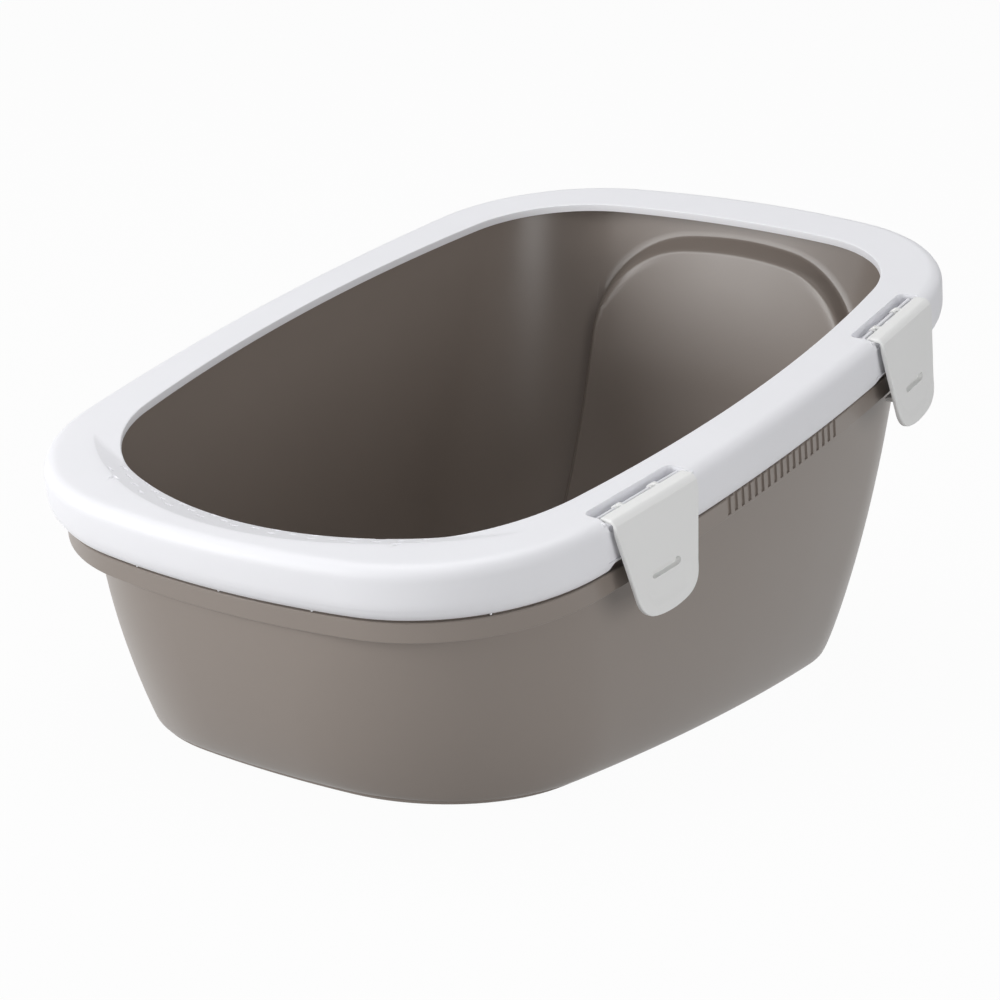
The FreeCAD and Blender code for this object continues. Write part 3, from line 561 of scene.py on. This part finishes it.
def stepDrop(x, v):
    # how far the sloping step lies under the rim's plane
    shape = rimShape
    if v > -shape["stepAxis"]:
        return 0.0
    cone = (shape["stepRadius"] - math.hypot(x, v + shape["stepAxis"])) * math.tan(math.radians(shape["stepSlope"]))
    ramp = (shape["stepHalf"] - abs(x)) * math.tan(math.radians(shape["stepRamp"]))
    return max(softMost(softLeast(cone, ramp, shape["soft"]), 0, shape["soft"] / 2), 0)


def slotDrop(x, v):
    # small anti-slip slots in staggered rows along the step, each with a level floor
    shape = rimShape
    radius = math.hypot(x, v - shape["slotAxis"])
    if abs(x) > shape["slotReach"] or v > -shape["stepAxis"]:
        return 0.0
    row = round((shape["slotOuter"] - radius) / shape["slotRow"])
    middle = shape["slotOuter"] - row * shape["slotRow"]
    across = shape["slotWidth"] / 2 - abs(radius - middle)
    if across <= 0 or row < 0 or row >= shape["slotRows"]:
        return 0.0
    place = (abs(x) - row * shape["slotShift"]) / shape["slotPitch"]
    along = shape["slotLength"] / 2 - abs(place - round(place)) * shape["slotPitch"]
    share = (middle - shape["slotWidth"] / 2) / radius
    floor = stepDrop(x * share, shape["slotAxis"] + (v - shape["slotAxis"]) * share)
    return max(floor - stepDrop(x, v) + shape["slotDepth"], 0) * clamp(min(across, along) / shape["slotEase"])


def scallop(station):
    # rise of the rim's lower edge over a groove of the grip
    near = gripOffset(station) / rimShape["scallopHalf"]
    return rimShape["scallopRise"] * max(1 - near ** 2, 0) ** 0.6


def tuckInset(drop, radius):
    # the rim's tuck below its side face, outside or inside
    rise = max(drop - rimShape["tuckDrop"], 0)
    return rimShape["tuckRadius"] - math.sqrt(max(radius ** 2 - rise ** 2, 0))


def rimSection(station):
    # one cross-section, from the lip over the top, down the side and back along the underside
    shape, wall, bend = rimShape, rimWall, rimShape["topRound"]
    ox, ov, onx, onv = openingOutline.at(station)
    rx, rv, rnx, rnv = rimOutline.at(station)
    px, pv = rx - rnx * bend, rv - rnv * bend

    def across(share):
        x, v = ox + (px - ox) * share, ov + (pv - ov) * share
        return x, v, -stepDrop(x, v)

    def outward(inset, drop):
        return rx - rnx * inset, rv - rnv * inset, -drop

    def onStep(share):
        x, v = across(share)[:2]
        return v < -shape["stepAxis"] and math.hypot(x, v + shape["stepAxis"]) < shape["stepRadius"]

    edgeDrop, soft = stepDrop(ox, ov), shape["lipSoft"]
    lip = max(shape["lip"], edgeDrop + wall)
    found = [(ox, ov, -lip), (ox, ov, -edgeDrop - shape["lipEdge"]),
             (ox + onx * soft, ov + onv * soft, -edgeDrop - soft)]
    # one row follows the step's outer line
    least, most = shape["stepShares"]
    line = most if ov > -shape["stepAxis"] else clamp(halve(0.0, 1.0, shape["stepTries"], onStep)[0], least, most)
    start = shape["stepInset"] / max(math.hypot(px - ox, pv - ov), 1)
    for step in range(shape["stepRows"] + 1):
        x, v, z = across(start + (line - start) * step / shape["stepRows"])
        found.append((x, v, z - slotDrop(x, v)))
    rows = shape["topRows"]
    found += [across(line + (1 - line) * step / rows) for step in range(1, rows + 1)]
    for step in range(1, rows + 1):
        turn = math.radians(90 * step / rows)
        found.append(outward(bend - bend * math.sin(turn), bend - bend * math.cos(turn)))
    # down the side, with the crease and the lower edge
    low, crease, outer = shape["depth"] - scallop(station), shape["creaseDrop"], shape["tuckRadius"]
    front = clamp((-rv - shape["creaseFrom"]) / shape["creaseFade"])
    found += [outward(tuckInset(drop, outer), drop)
              for drop in (*shape["sideDrops"], crease - shape["creaseEase"])]
    for share in shape["creaseShares"]:
        drop = crease + (low - shape["edge"] - crease) * share
        found.append(outward(tuckInset(drop, outer) + shape["creaseStep"] * front * (1 - share), drop))
    inner = outer - wall
    found.append(outward(tuckInset(low, outer) + shape["edge"], low))
    found.append(outward(tuckInset(low, inner) - shape["innerEdge"], low))
    for drop in (low - shape["edge"], *shape["innerDrops"]):
        drop = min(drop, low - shape["edge"])
        found.append(outward(tuckInset(drop, inner), drop))
    for step in range(1, shape["innerRows"] + 1):
        turn = math.radians(90 / shape["innerRows"] * step)
        found.append(outward(bend - (bend - wall) * math.cos(turn), bend - (bend - wall) * math.sin(turn)))
    for share in shape["underShares"]:
        x, v, z = across(share)
        found.append((x, v, min(z + shape["underRise"], 0) - wall))
    ux, uv = ox + onx * wall, ov + onv * wall
    found += [(ux, uv, min(-stepDrop(ux, uv) + shape["underRise"], 0) - wall), (ux, uv, -lip)]
    return [rimPlace(*point) for point in found]


def barMeshes(place):
    # the pivot bar across a pocket, and the post under it
    seat = clipSeat
    (x, z), radius, sides = seat["pivot"], seat["barRadius"], seat["barSides"]
    turns = [math.radians(360 / sides * index) for index in range(sides)]
    bar = [(x + radius * math.cos(turn), z + radius * math.sin(turn)) for turn in turns]
    back, front, low, high = seat["post"]
    post = [(back, low), (front, low), (front, high), (back, high)]
    return [prism("bar", bar, -seat["barHalf"], seat["barHalf"], drawnAlong(place)),
            prism("post", post, -seat["postHalf"], seat["postHalf"], drawnAlong(place))]


def nubMeshes():
    # tiny drops of plastic on the lower edge, left by the mould round the front
    shape = rimShape
    half, depth, sides = shape["nubWidth"] / 2, shape["depth"], shape["nubSides"]
    turns = [math.radians(360 / sides * index) for index in range(sides)]
    ring = [(half * math.cos(turn), half * math.sin(turn)) for turn in turns]
    inset = tuckInset(depth, shape["tuckRadius"]) + shape["nubInset"]
    found = []
    for station in shape["nubs"]:
        x, v, nx, nv = rimOutline.at(station)
        for side in (1, -1) if station[1] < 1 else (1,):

            def place(a, b, level, side=side, x=x, v=v, nx=nx, nv=nv):
                across, along = x - nx * (inset + b) - nv * a, v - nv * (inset + b) + nx * a
                return rimPlace(side * across, along, level)
            found.append(prism("nub", ring, -depth - shape["nubDrop"], -depth + shape["edge"], place,
                               shape["nubEdge"]))
    return found


def makeRim():
    sections = [rimSection(station) for station in rimStations]
    piece = weave("rimShell", [wholeRing(list(ring)) for ring in zip(*sections)], closed=True)
    places = stationPlaces.values()
    carve(piece, merge("blocks", [seatMesh("block", place) for place in places]), "UNION")
    for place in places:
        for mesh in (seatMesh("pocket", place), seatMesh("recess", place), seatMesh("cutout", place, drawnOut)):
            carve(piece, mesh)
    attach(piece, nubMeshes() + [mesh for place in places for mesh in barMeshes(place)])
    smooth(piece, rimShape["sharpFrom"])
    return piece


rimPiece = makeRim()
print("rim made:", len(rimPiece.data.polygons))


# Each clip is a bent plate with a rounded edge, slot and finger lip, knuckles and a hook.

clipShape = {
    "half": 35, "wall": 2.5, "topFrom": 4.5, "outer": 15.0, "top": 3.5, "bend": 3.5, "lean": 6.2, "length": 64.6,
    "shoulder": 9.0, "tipRadius": 62, "tipCorner": 16, "tipHalf": 26.2, "edge": 0.9,
    "columns": 60, "edgeColumns": (0.0, 0.006, 0.018, 0.036, 0.06),  # close where the edge rounds off
    "topRows": (0, 0.15, 0.45, 0.9, 3, 5.5), "bendRows": 8, "cornerPoints": 12, "endPoints": 8, "sharpFrom": 30,
    "tipRows": [step / 26 for step in range(1, 24)] + [0.905, 0.935, 0.96, 0.98, 0.991, 0.997, 1],
    "slotLength": 24.5, "slotHeight": 4.8, "slotDrop": 40.0, "slotDepth": 3.7,
    "bossWall": 1.3, "bossSink": 1.5, "slotOver": 4,
    "lipWidth": 8.0, "lipRise": 0.8, "lipFade": 14, "lipEase": 0.8,
    "borderWidth": 1.6, "borderRise": 0.25, "borderEase": 0.5,
    "knuckleAt": 15, "knuckleWidth": 6, "knuckleRing": 2.2, "knuckleHole": 1.26, "knuckleEdge": 0.2,
    "knuckleTurns": (-52, 233),  # the knuckle is open below
    "rib": ((-1.3, 1.4), (4.7, 1.0), (4.7, 3.0), (0.6, 2.6), (-0.6, 2.4)), "ribWidth": 1.2,
    "hook": ((4.3, -43.66), (12.2, -42.15), (17.0, -41.2), (17.2, -45.2), (12.2, -45.6), (4.3, -46.0)),
    "hookWidth": 24.5, "hookEdge": 0.3,
}


def clipFold():
    # the lean of the hanging plate, where the fold starts along the plate, and the fold's length
    shape = clipShape
    lean = math.atan2(shape["lean"], shape["length"])
    return lean, shape["outer"] - shape["bend"] - shape["topFrom"], shape["bend"] * (math.pi / 2 - lean)


def clipPath(run, depth):
    # along the plate's outer face from its inner end, at a depth under it: x and z
    shape, radius = clipShape, clipShape["bend"]
    lean, top, arc = clipFold()
    if run <= top:
        return shape["topFrom"] + run, shape["top"] - depth
    centre = (shape["outer"] - radius, shape["top"] - radius)
    if run <= top + arc:
        turn = math.pi / 2 - (run - top) / radius
        x, z = centre[0] + (radius - depth) * math.cos(turn), centre[1] + (radius - depth) * math.sin(turn)
        if depth < shape["wall"] / 2:
            # outside the fold slopes down and ends in a crease
            share = (run - top) / arc
            last = (centre[0] + radius * math.cos(lean), centre[1] + radius * math.sin(lean))
            x = centre[0] + (last[0] - centre[0]) * share - depth * share
            z = shape["top"] + (last[1] - shape["top"]) * share ** 1.5 - depth * (1 - share)
        return x, z
    beyond = run - top - arc
    x = centre[0] + (radius - depth) * math.cos(lean) + beyond * math.sin(lean)
    z = centre[1] + (radius - depth) * math.sin(lean) - beyond * math.cos(lean)
    return x, z


def clipTip():
    # the tip's outline in width and drop below the plate's top, from the left taper to the right one
    shape, corner = clipShape, clipShape["tipCorner"]
    cornerX = shape["tipHalf"] - corner
    tipZ = shape["length"] - shape["tipRadius"]
    cornerZ = tipZ + math.sqrt((shape["tipRadius"] - corner) ** 2 - cornerX ** 2)
    across, rise = shape["half"] - cornerX, cornerZ - shape["shoulder"]
    touch = math.atan2(rise, across) - math.acos(corner / math.hypot(rise, across))
    last = math.atan2(cornerZ - tipZ, cornerX)
    points = []
    for index in range(shape["cornerPoints"] + 1):
        turn = -touch + (last + touch) * index / shape["cornerPoints"]
        points.append((cornerX + corner * math.cos(turn), cornerZ + corner * math.sin(turn)))
    for turn in steps(last, math.pi / 2, shape["endPoints"]):
        points.append((shape["tipRadius"] * math.cos(turn), tipZ + shape["tipRadius"] * math.sin(turn)))
    return [(-y, drop) for y, drop in points[:-1]] + points[::-1]


def pointsAlong(points, shares):
    # points at shares of a line's length
    lengths = [0.0]
    for first, second in zip(points, points[1:]):
        lengths.append(lengths[-1] + math.dist(first, second))
    found = []
    for share in shares:
        goal = share * lengths[-1]
        index = next((index for index in range(len(points) - 2) if goal <= lengths[index + 1]), len(points) - 2)
        part = (goal - lengths[index]) / (lengths[index + 1] - lengths[index])
        found.append(tuple(a + (b - a) * part for a, b in zip(points[index], points[index + 1])))
    return found


def clipGrid():
    # rows of places on the plate, in width and run, that close in on the tip's outline
    shape = clipShape
    near, columns = list(shape["edgeColumns"]), shape["columns"]
    inner = near[-1]
    even = [round(inner + (1 - 2 * inner) * index / columns, 4) for index in range(columns + 1)]
    shares = sorted(set(near + [1 - share for share in near] + even))
    _, top, arc = clipFold()
    shoulder = top + arc + shape["shoulder"] - shape["bend"]
    rows = [*shape["topRows"], top, *(top + arc * step / shape["bendRows"] for step in range(1, shape["bendRows"] + 1)),
            shoulder]
    grid = [[((2 * share - 1) * shape["half"], run) for share in shares] for run in rows]
    tip = clipTip()
    goals = [(y, shoulder + (drop - shape["shoulder"])) for y, drop in pointsAlong(tip, shares)]
    for part in shape["tipRows"]:
        grid.append([(y + (goalY - y) * part, run + (goalRun - run) * part)
                     for (y, run), (goalY, goalRun) in zip(grid[len(rows) - 1], goals)])
    return grid, max(drop for _, drop in tip) - shape["shoulder"] + shoulder


def edgeDistance(outline, y, run):
    # distance of a place on the plate from its edge
    best = run
    for (ay, ar), (by, br) in zip(outline, outline[1:]):
        dy, dr = by - ay, br - ar
        span = dy * dy + dr * dr
        part = clamp(((y - ay) * dy + (run - ar) * dr) / span) if span else 0
        best = min(best, math.hypot(y - ay - dy * part, run - ar - dr * part))
    return best


def clipFaces():
    # points of the plate's outer and inner face, with the edge rounded off, the lip and the border
    shape, edge = clipShape, clipShape["edge"]
    grid, lowEnd = clipGrid()
    outline = [row[0] for row in grid] + grid[-1][1:] + [row[-1] for row in grid[::-1]][1:]
    _, top, arc = clipFold()
    outer, inner = [], []
    for row in grid:
        outer.append([])
        inner.append([])
        for y, run in row:
            far = edgeDistance(outline, y, run)
            fall = edge - math.sqrt(max(edge ** 2 - (edge - min(far, edge)) ** 2, 0))
            lip = clamp((run - lowEnd + shape["lipWidth"] + shape["lipFade"]) / shape["lipFade"])
            lip *= shape["lipRise"] * clamp((shape["lipWidth"] - far) / shape["lipEase"])
            border = shape["borderRise"] * clamp((shape["borderWidth"] - far) / shape["borderEase"])
            raised = max(lip, border if run > top + arc else 0)
            for face, depth in ((outer, fall - raised), (inner, shape["wall"] - fall * 0.5)):
                x, z = clipPath(run, depth)
                face[-1].append((x, y, z))
    return outer, inner


def slotOutline(grow=0):
    # the finger slot's outline with round ends, grown all round
    shape = clipShape
    half, high = shape["slotLength"] / 2 + grow, shape["slotHeight"] / 2 + grow
    middle = shape["top"] - shape["slotDrop"]
    turns = [math.radians(turn) for turn in range(-90, 91, arcStep)]
    return [(way * (half - high + high * math.cos(turn)), middle + way * high * math.sin(turn))
            for way in (1, -1) for turn in turns]


def fittingMeshes(place):
    # knuckles round the pivot bar, each with a rib, and the hook
    shape = clipShape
    ring, hole = shape["knuckleRing"], shape["knuckleHole"]
    turns = [math.radians(turn) for turn in range(*shape["knuckleTurns"], arcStep)]
    knuckle = [(ring * math.cos(turn), ring * math.sin(turn)) for turn in turns]
    knuckle += [(hole * math.cos(turn), hole * math.sin(turn)) for turn in turns[::-1]]
    found = []
    for at in (-shape["knuckleAt"], shape["knuckleAt"]):
        for form, width in ((knuckle, shape["knuckleWidth"]), (shape["rib"], shape["ribWidth"])):
            found.append(prism("knuckle", form, at - width / 2, at + width / 2, drawnAlong(place),
                               shape["knuckleEdge"]))
    half = shape["hookWidth"] / 2
    found.append(prism("hook", shape["hook"], -half, half, drawnAlong(place), shape["hookEdge"]))
    return found


plateFaces = clipFaces()


def makeClip(name, seatPlace):
    shape = clipShape
    pivotX, pivotZ = clipSeat["pivot"]

    def place(x, y, z):
        return seatPlace(x + pivotX, y, z + pivotZ)

    form = bmesh.new()
    loops = []
    for face in plateFaces:
        rows = [addRow(form, [place(*point) for point in row]) for row in face]
        for lower, upper in zip(rows, rows[1:]):
            for index in range(len(lower) - 1):
                form.faces.new((lower[index], lower[index + 1], upper[index + 1], upper[index]))
        loops.append(rows[0] + [row[-1] for row in rows[1:]] + rows[-1][-2::-1] + [row[0] for row in rows[-2:0:-1]])
    bridge(form, *loops)
    bmesh.ops.recalc_face_normals(form, faces=form.faces)
    piece = addObject(name, toMesh(form, name))
    # the finger slot is a blind recess, with a boss behind it
    slotX = shape["outer"] + shape["lean"] * shape["slotDrop"] / shape["length"]
    floor, wall = slotX - shape["slotDepth"], shape["bossWall"]
    carve(piece, prism("boss", slotOutline(wall), floor - wall, slotX - shape["bossSink"], drawnOut(place)), "UNION")
    carve(piece, prism("slot", slotOutline(), floor, slotX + shape["slotOver"], drawnOut(place)))
    attach(piece, fittingMeshes(place))
    smooth(piece, shape["sharpFrom"])
    return piece


clipNames = {"clip_front_right": "clipFrontRight", "clip_rear_right": "clipRearRight"}
clipPieces = {node: makeClip(clipNames[node], place) for node, place in stationPlaces.items()}
print("clips made:", ", ".join(piece.name for piece in clipPieces.values()))


# Materials use one class for a socket and one for a node tree being built.

class Wire:
    # an output socket; sums on it add Math nodes
    def __init__(self, recipe, socket):
        self.recipe = recipe
        self.socket = socket

    def combine(self, operation, first, second):
        return self.recipe.add("ShaderNodeMath", {"operation": operation}, {0: first, 1: second})

    def __add__(self, other):
        return self.combine("ADD", self, other)

    def __radd__(self, other):
        return self.combine("ADD", other, self)

    def __mul__(self, other):
        return self.combine("MULTIPLY", self, other)

    def __rmul__(self, other):
        return self.combine("MULTIPLY", other, self)


class Recipe:
    # the nodes of a material or world under construction
    def __init__(self, owner):
        owner.use_nodes = True
        self.nodes, self.links = owner.node_tree.nodes, owner.node_tree.links
        self.nodes.clear()

    def add(self, kind, settings=None, sockets=None, output=0):
        node = self.nodes.new(kind)
        for key, setting in (settings or {}).items():
            setattr(node, key, setting)
        for key, given in (sockets or {}).items():
            if isinstance(given, Wire):
                self.links.new(given.socket, node.inputs[key])
            else:
                node.inputs[key].default_value = given
        return Wire(self, node.outputs[output]) if len(node.outputs) else node

    def blend(self, amount, first, second):
        # a colour between two colours, on the Mix node's colour sockets
        return self.add("ShaderNodeMix", {"data_type": "RGBA"}, {0: amount, 6: first, 7: second}, 2)

    def noise(self, scale, detail, roughness):
        place = self.add("ShaderNodeTexCoord", output="Object")
        return self.add("ShaderNodeTexNoise", {}, {
            "Vector": place, "Scale": scale, "Detail": detail, "Roughness": roughness})

    def span(self, value, low, high, toLow=0.0, toHigh=1.0):
        # a value mapped from one range onto another, eased at both ends
        return self.add("ShaderNodeMapRange", {"clamp": True, "interpolation_type": "SMOOTHSTEP"},
                        {"Value": value, "From Min": low, "From Max": high, "To Min": toLow, "To Max": toHigh})


mouldedPlastic = {
    "rim": {"colour": (0.90, 0.90, 0.93, 1), "shade": (0.88, 0.88, 0.91, 1), "roughness": 0.52,
            "spread": 0.06, "grain": 0.03, "coat": 0.0},
    "clip": {"colour": (0.90, 0.90, 0.89, 1), "shade": (0.88, 0.88, 0.87, 1), "roughness": 0.45,
             "spread": 0.06, "grain": 0.03, "coat": 0.0},
    "tub": {"colour": (0.275, 0.235, 0.207, 1), "shade": (0.262, 0.224, 0.197, 1), "roughness": 0.34,
            "spread": 0.04, "grain": 0.015, "coat": 0.0},
    # painted shade: the tub's own plastic made darker for the inside of the deep bowl, with a glossier coat
    "tubInsidePaintedShade": {"colour": (0.140, 0.110, 0.097, 1), "shade": (0.134, 0.105, 0.092, 1), "roughness": 0.17,
                  "spread": 0.03, "grain": 0.006, "coat": 0.9},
}
mouldedSkin = {
    # noise: scale, detail, roughness
    "cloud": (9.0, 4.0, 0.55),  # slow drift of the colour in the melt
    "speck": (260.0, 1.0, 0.5),  # fine unevenness of the moulded skin
    "rub": (36.0, 1.5, 0.5),  # handling marks
    # the noise's range that is used, and the shares of two noises
    "toneRange": (0.1, 0.9), "toneShares": (0.8, 0.2),
    "roughRange": (0.05, 0.95), "roughShares": (0.7, 0.3),
    "bumpShares": (0.6, 0.4), "bumpDistance": 0.0004,
    "ior": 1.5, "coatRoughness": 0.05,
}


def plasticMaterial(name, look):
    material = bpy.data.materials.new(name)
    recipe, skin = Recipe(material), mouldedSkin
    cloud, speck, rub = (recipe.noise(*skin[key]) for key in ("cloud", "speck", "rub"))

    def mixed(first, second, shares):
        return first * shares[0] + second * shares[1]

    tone = recipe.span(cloud, *skin["toneRange"])
    colour = recipe.blend(mixed(tone, speck, skin["toneShares"]), look["shade"], look["colour"])
    rough = recipe.span(mixed(rub, cloud, skin["roughShares"]), *skin["roughRange"],
                        look["roughness"] - look["spread"] / 2, look["roughness"] + look["spread"] / 2)
    bump = recipe.add("ShaderNodeBump", {}, {"Strength": look["grain"], "Distance": skin["bumpDistance"],
                                             "Height": mixed(speck, rub, skin["bumpShares"])})
    shader = recipe.add("ShaderNodeBsdfPrincipled", {}, {
        "Base Color": colour, "Roughness": rough, "Normal": bump, "IOR": skin["ior"],
        "Coat Weight": look["coat"], "Coat Roughness": skin["coatRoughness"]})
    recipe.add("ShaderNodeOutputMaterial", {}, {"Surface": shader})
    return material


finishes = {key: plasticMaterial(key + "Plastic", look) for key, look in mouldedPlastic.items()}
print("materials made:", len(finishes))


def paint(piece, materials):
    piece.data.materials.clear()
    for material in materials:
        piece.data.materials.append(material)


def fit(piece, nodes, body, materials):
    # the piece stands for CAD nodes, moves with their body and takes its finish
    paint(piece, materials)
    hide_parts(*nodes)
    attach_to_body(piece, body)


# the tub's inside gets painted shade: a darker copy of the tub's plastic
fit(tubPiece, ["tub"], "tub", [finishes["tub"], finishes["tubInsidePaintedShade"]])
fit(rimPiece, ["rim"], "rim", [finishes["rim"]])
for nodeName, piece in clipPieces.items():
    fit(piece, [nodeName], nodeName, [finishes["clip"]])
print("pieces painted")


# Studio: a pale floor, a white backdrop, four soft lamps and the photograph's camera.

studio = {
    "floorSize": 6.0,
    "floorColour": (0.54, 0.54, 0.54, 1),
    "floorGlow": 0.965,  # how much of the floor's white is kept where it is seen or mirrored
    "backdrop": 0.985,  # white of the world where the camera sees it
    "world": 0.21, "worldColour": (0.97, 0.98, 1.0, 1),
    "lamps": [
        # name, place, aimed at, size, watts
        ("topSoftbox", (-0.5, 0.1, 3.2), (0, 0, 0.1), 2.6, 52),
        ("keySoftbox", (-1.35, -1.95, 0.66), (0, 0, 0.2), 1.25, 36),
        ("fillSoftbox", (2.9, -1.1, 0.75), (0, 0, 0.2), 1.6, 30),
        ("backSoftbox", (0.2, 3.2, 2.4), (0, 0, 0.2), 1.8, 6),
    ],
}
white = (1, 1, 1, 1)


def studioFloor():
    size = studio["floorSize"]
    form = bmesh.new()
    form.faces.new([form.verts.new((x * size, y * size, 0)) for x, y in ((-1, -1), (1, -1), (1, 1), (-1, 1))])
    floor = addObject("studioFloor", toMesh(form, "studioFloor"))
    material = bpy.data.materials.new("studioFloor")
    recipe = Recipe(material)
    seen, mirrored, passed = (recipe.add("ShaderNodeLightPath", output="Is %s Ray" % kind)
                              for kind in ("Camera", "Glossy", "Transmission"))
    matte = recipe.add("ShaderNodeBsdfDiffuse", {}, {"Color": studio["floorColour"]})
    glow = recipe.add("ShaderNodeEmission", {}, {"Color": white, "Strength": 1.0})
    share = recipe.add("ShaderNodeMath", {"operation": "MINIMUM"}, {0: seen + mirrored + passed, 1: 1.0})
    both = recipe.add("ShaderNodeMixShader", {}, {0: share * studio["floorGlow"], 1: matte, 2: glow})
    recipe.add("ShaderNodeOutputMaterial", {}, {"Surface": both})
    paint(floor, [material])


def studioWorld():
    world = bpy.data.worlds.new("studioWorld")
    bpy.context.scene.world = world
    recipe = Recipe(world)
    seen = recipe.add("ShaderNodeLightPath", output="Is Camera Ray")
    soft = recipe.add("ShaderNodeBackground", {}, {"Color": studio["worldColour"], "Strength": studio["world"]})
    plain = recipe.add("ShaderNodeBackground", {}, {"Color": white, "Strength": studio["backdrop"]})
    both = recipe.add("ShaderNodeMixShader", {}, {0: seen, 1: soft, 2: plain})
    recipe.add("ShaderNodeOutputWorld", {}, {"Surface": both})


def studioLamps():
    for name, place, aim, size, watts in studio["lamps"]:
        data = bpy.data.lights.new(name, "AREA")
        data.shape = "DISK"
        data.size = size
        data.energy = watts
        lamp = addObject(name, data)
        lamp.location = place
        lamp.rotation_mode = "QUATERNION"
        lamp.rotation_quaternion = (Vector(aim) - Vector(place)).to_track_quat("-Z", "Y")


photoCamera = {"azimuth": 35.07, "elevation": 15.95, "roll": 1.60, "distance": 1.8616,
               "target": (-0.00575, 0.00176, 0.1091), "focalPixels": 3094, "framePixels": 1000, "sensor": 36}


def placeCamera():
    azimuth, elevation, roll = (math.radians(photoCamera[key]) for key in ("azimuth", "elevation", "roll"))
    back = Vector((math.sin(azimuth) * math.cos(elevation), -math.cos(azimuth) * math.cos(elevation),
                   math.sin(elevation)))
    right = (-back).cross(Vector((0, 0, 1))).normalized()
    up = right.cross(-back)
    across = right * math.cos(roll) + up * math.sin(roll)
    upward = up * math.cos(roll) - right * math.sin(roll)
    data = bpy.data.cameras.new("photoCamera")
    data.sensor_width = photoCamera["sensor"]
    data.lens = photoCamera["focalPixels"] * data.sensor_width / photoCamera["framePixels"]
    camera = addObject("photoCamera", data)
    turn = Matrix((across, upward, back)).transposed().to_4x4()
    spot = Vector(photoCamera["target"]) + back * photoCamera["distance"]
    camera.matrix_world = Matrix.Translation(spot) @ turn
    bpy.context.scene.camera = camera


studioFloor()
studioWorld()
studioLamps()
placeCamera()
bpy.context.scene.view_settings.view_transform = "Standard"
print("studio ready")
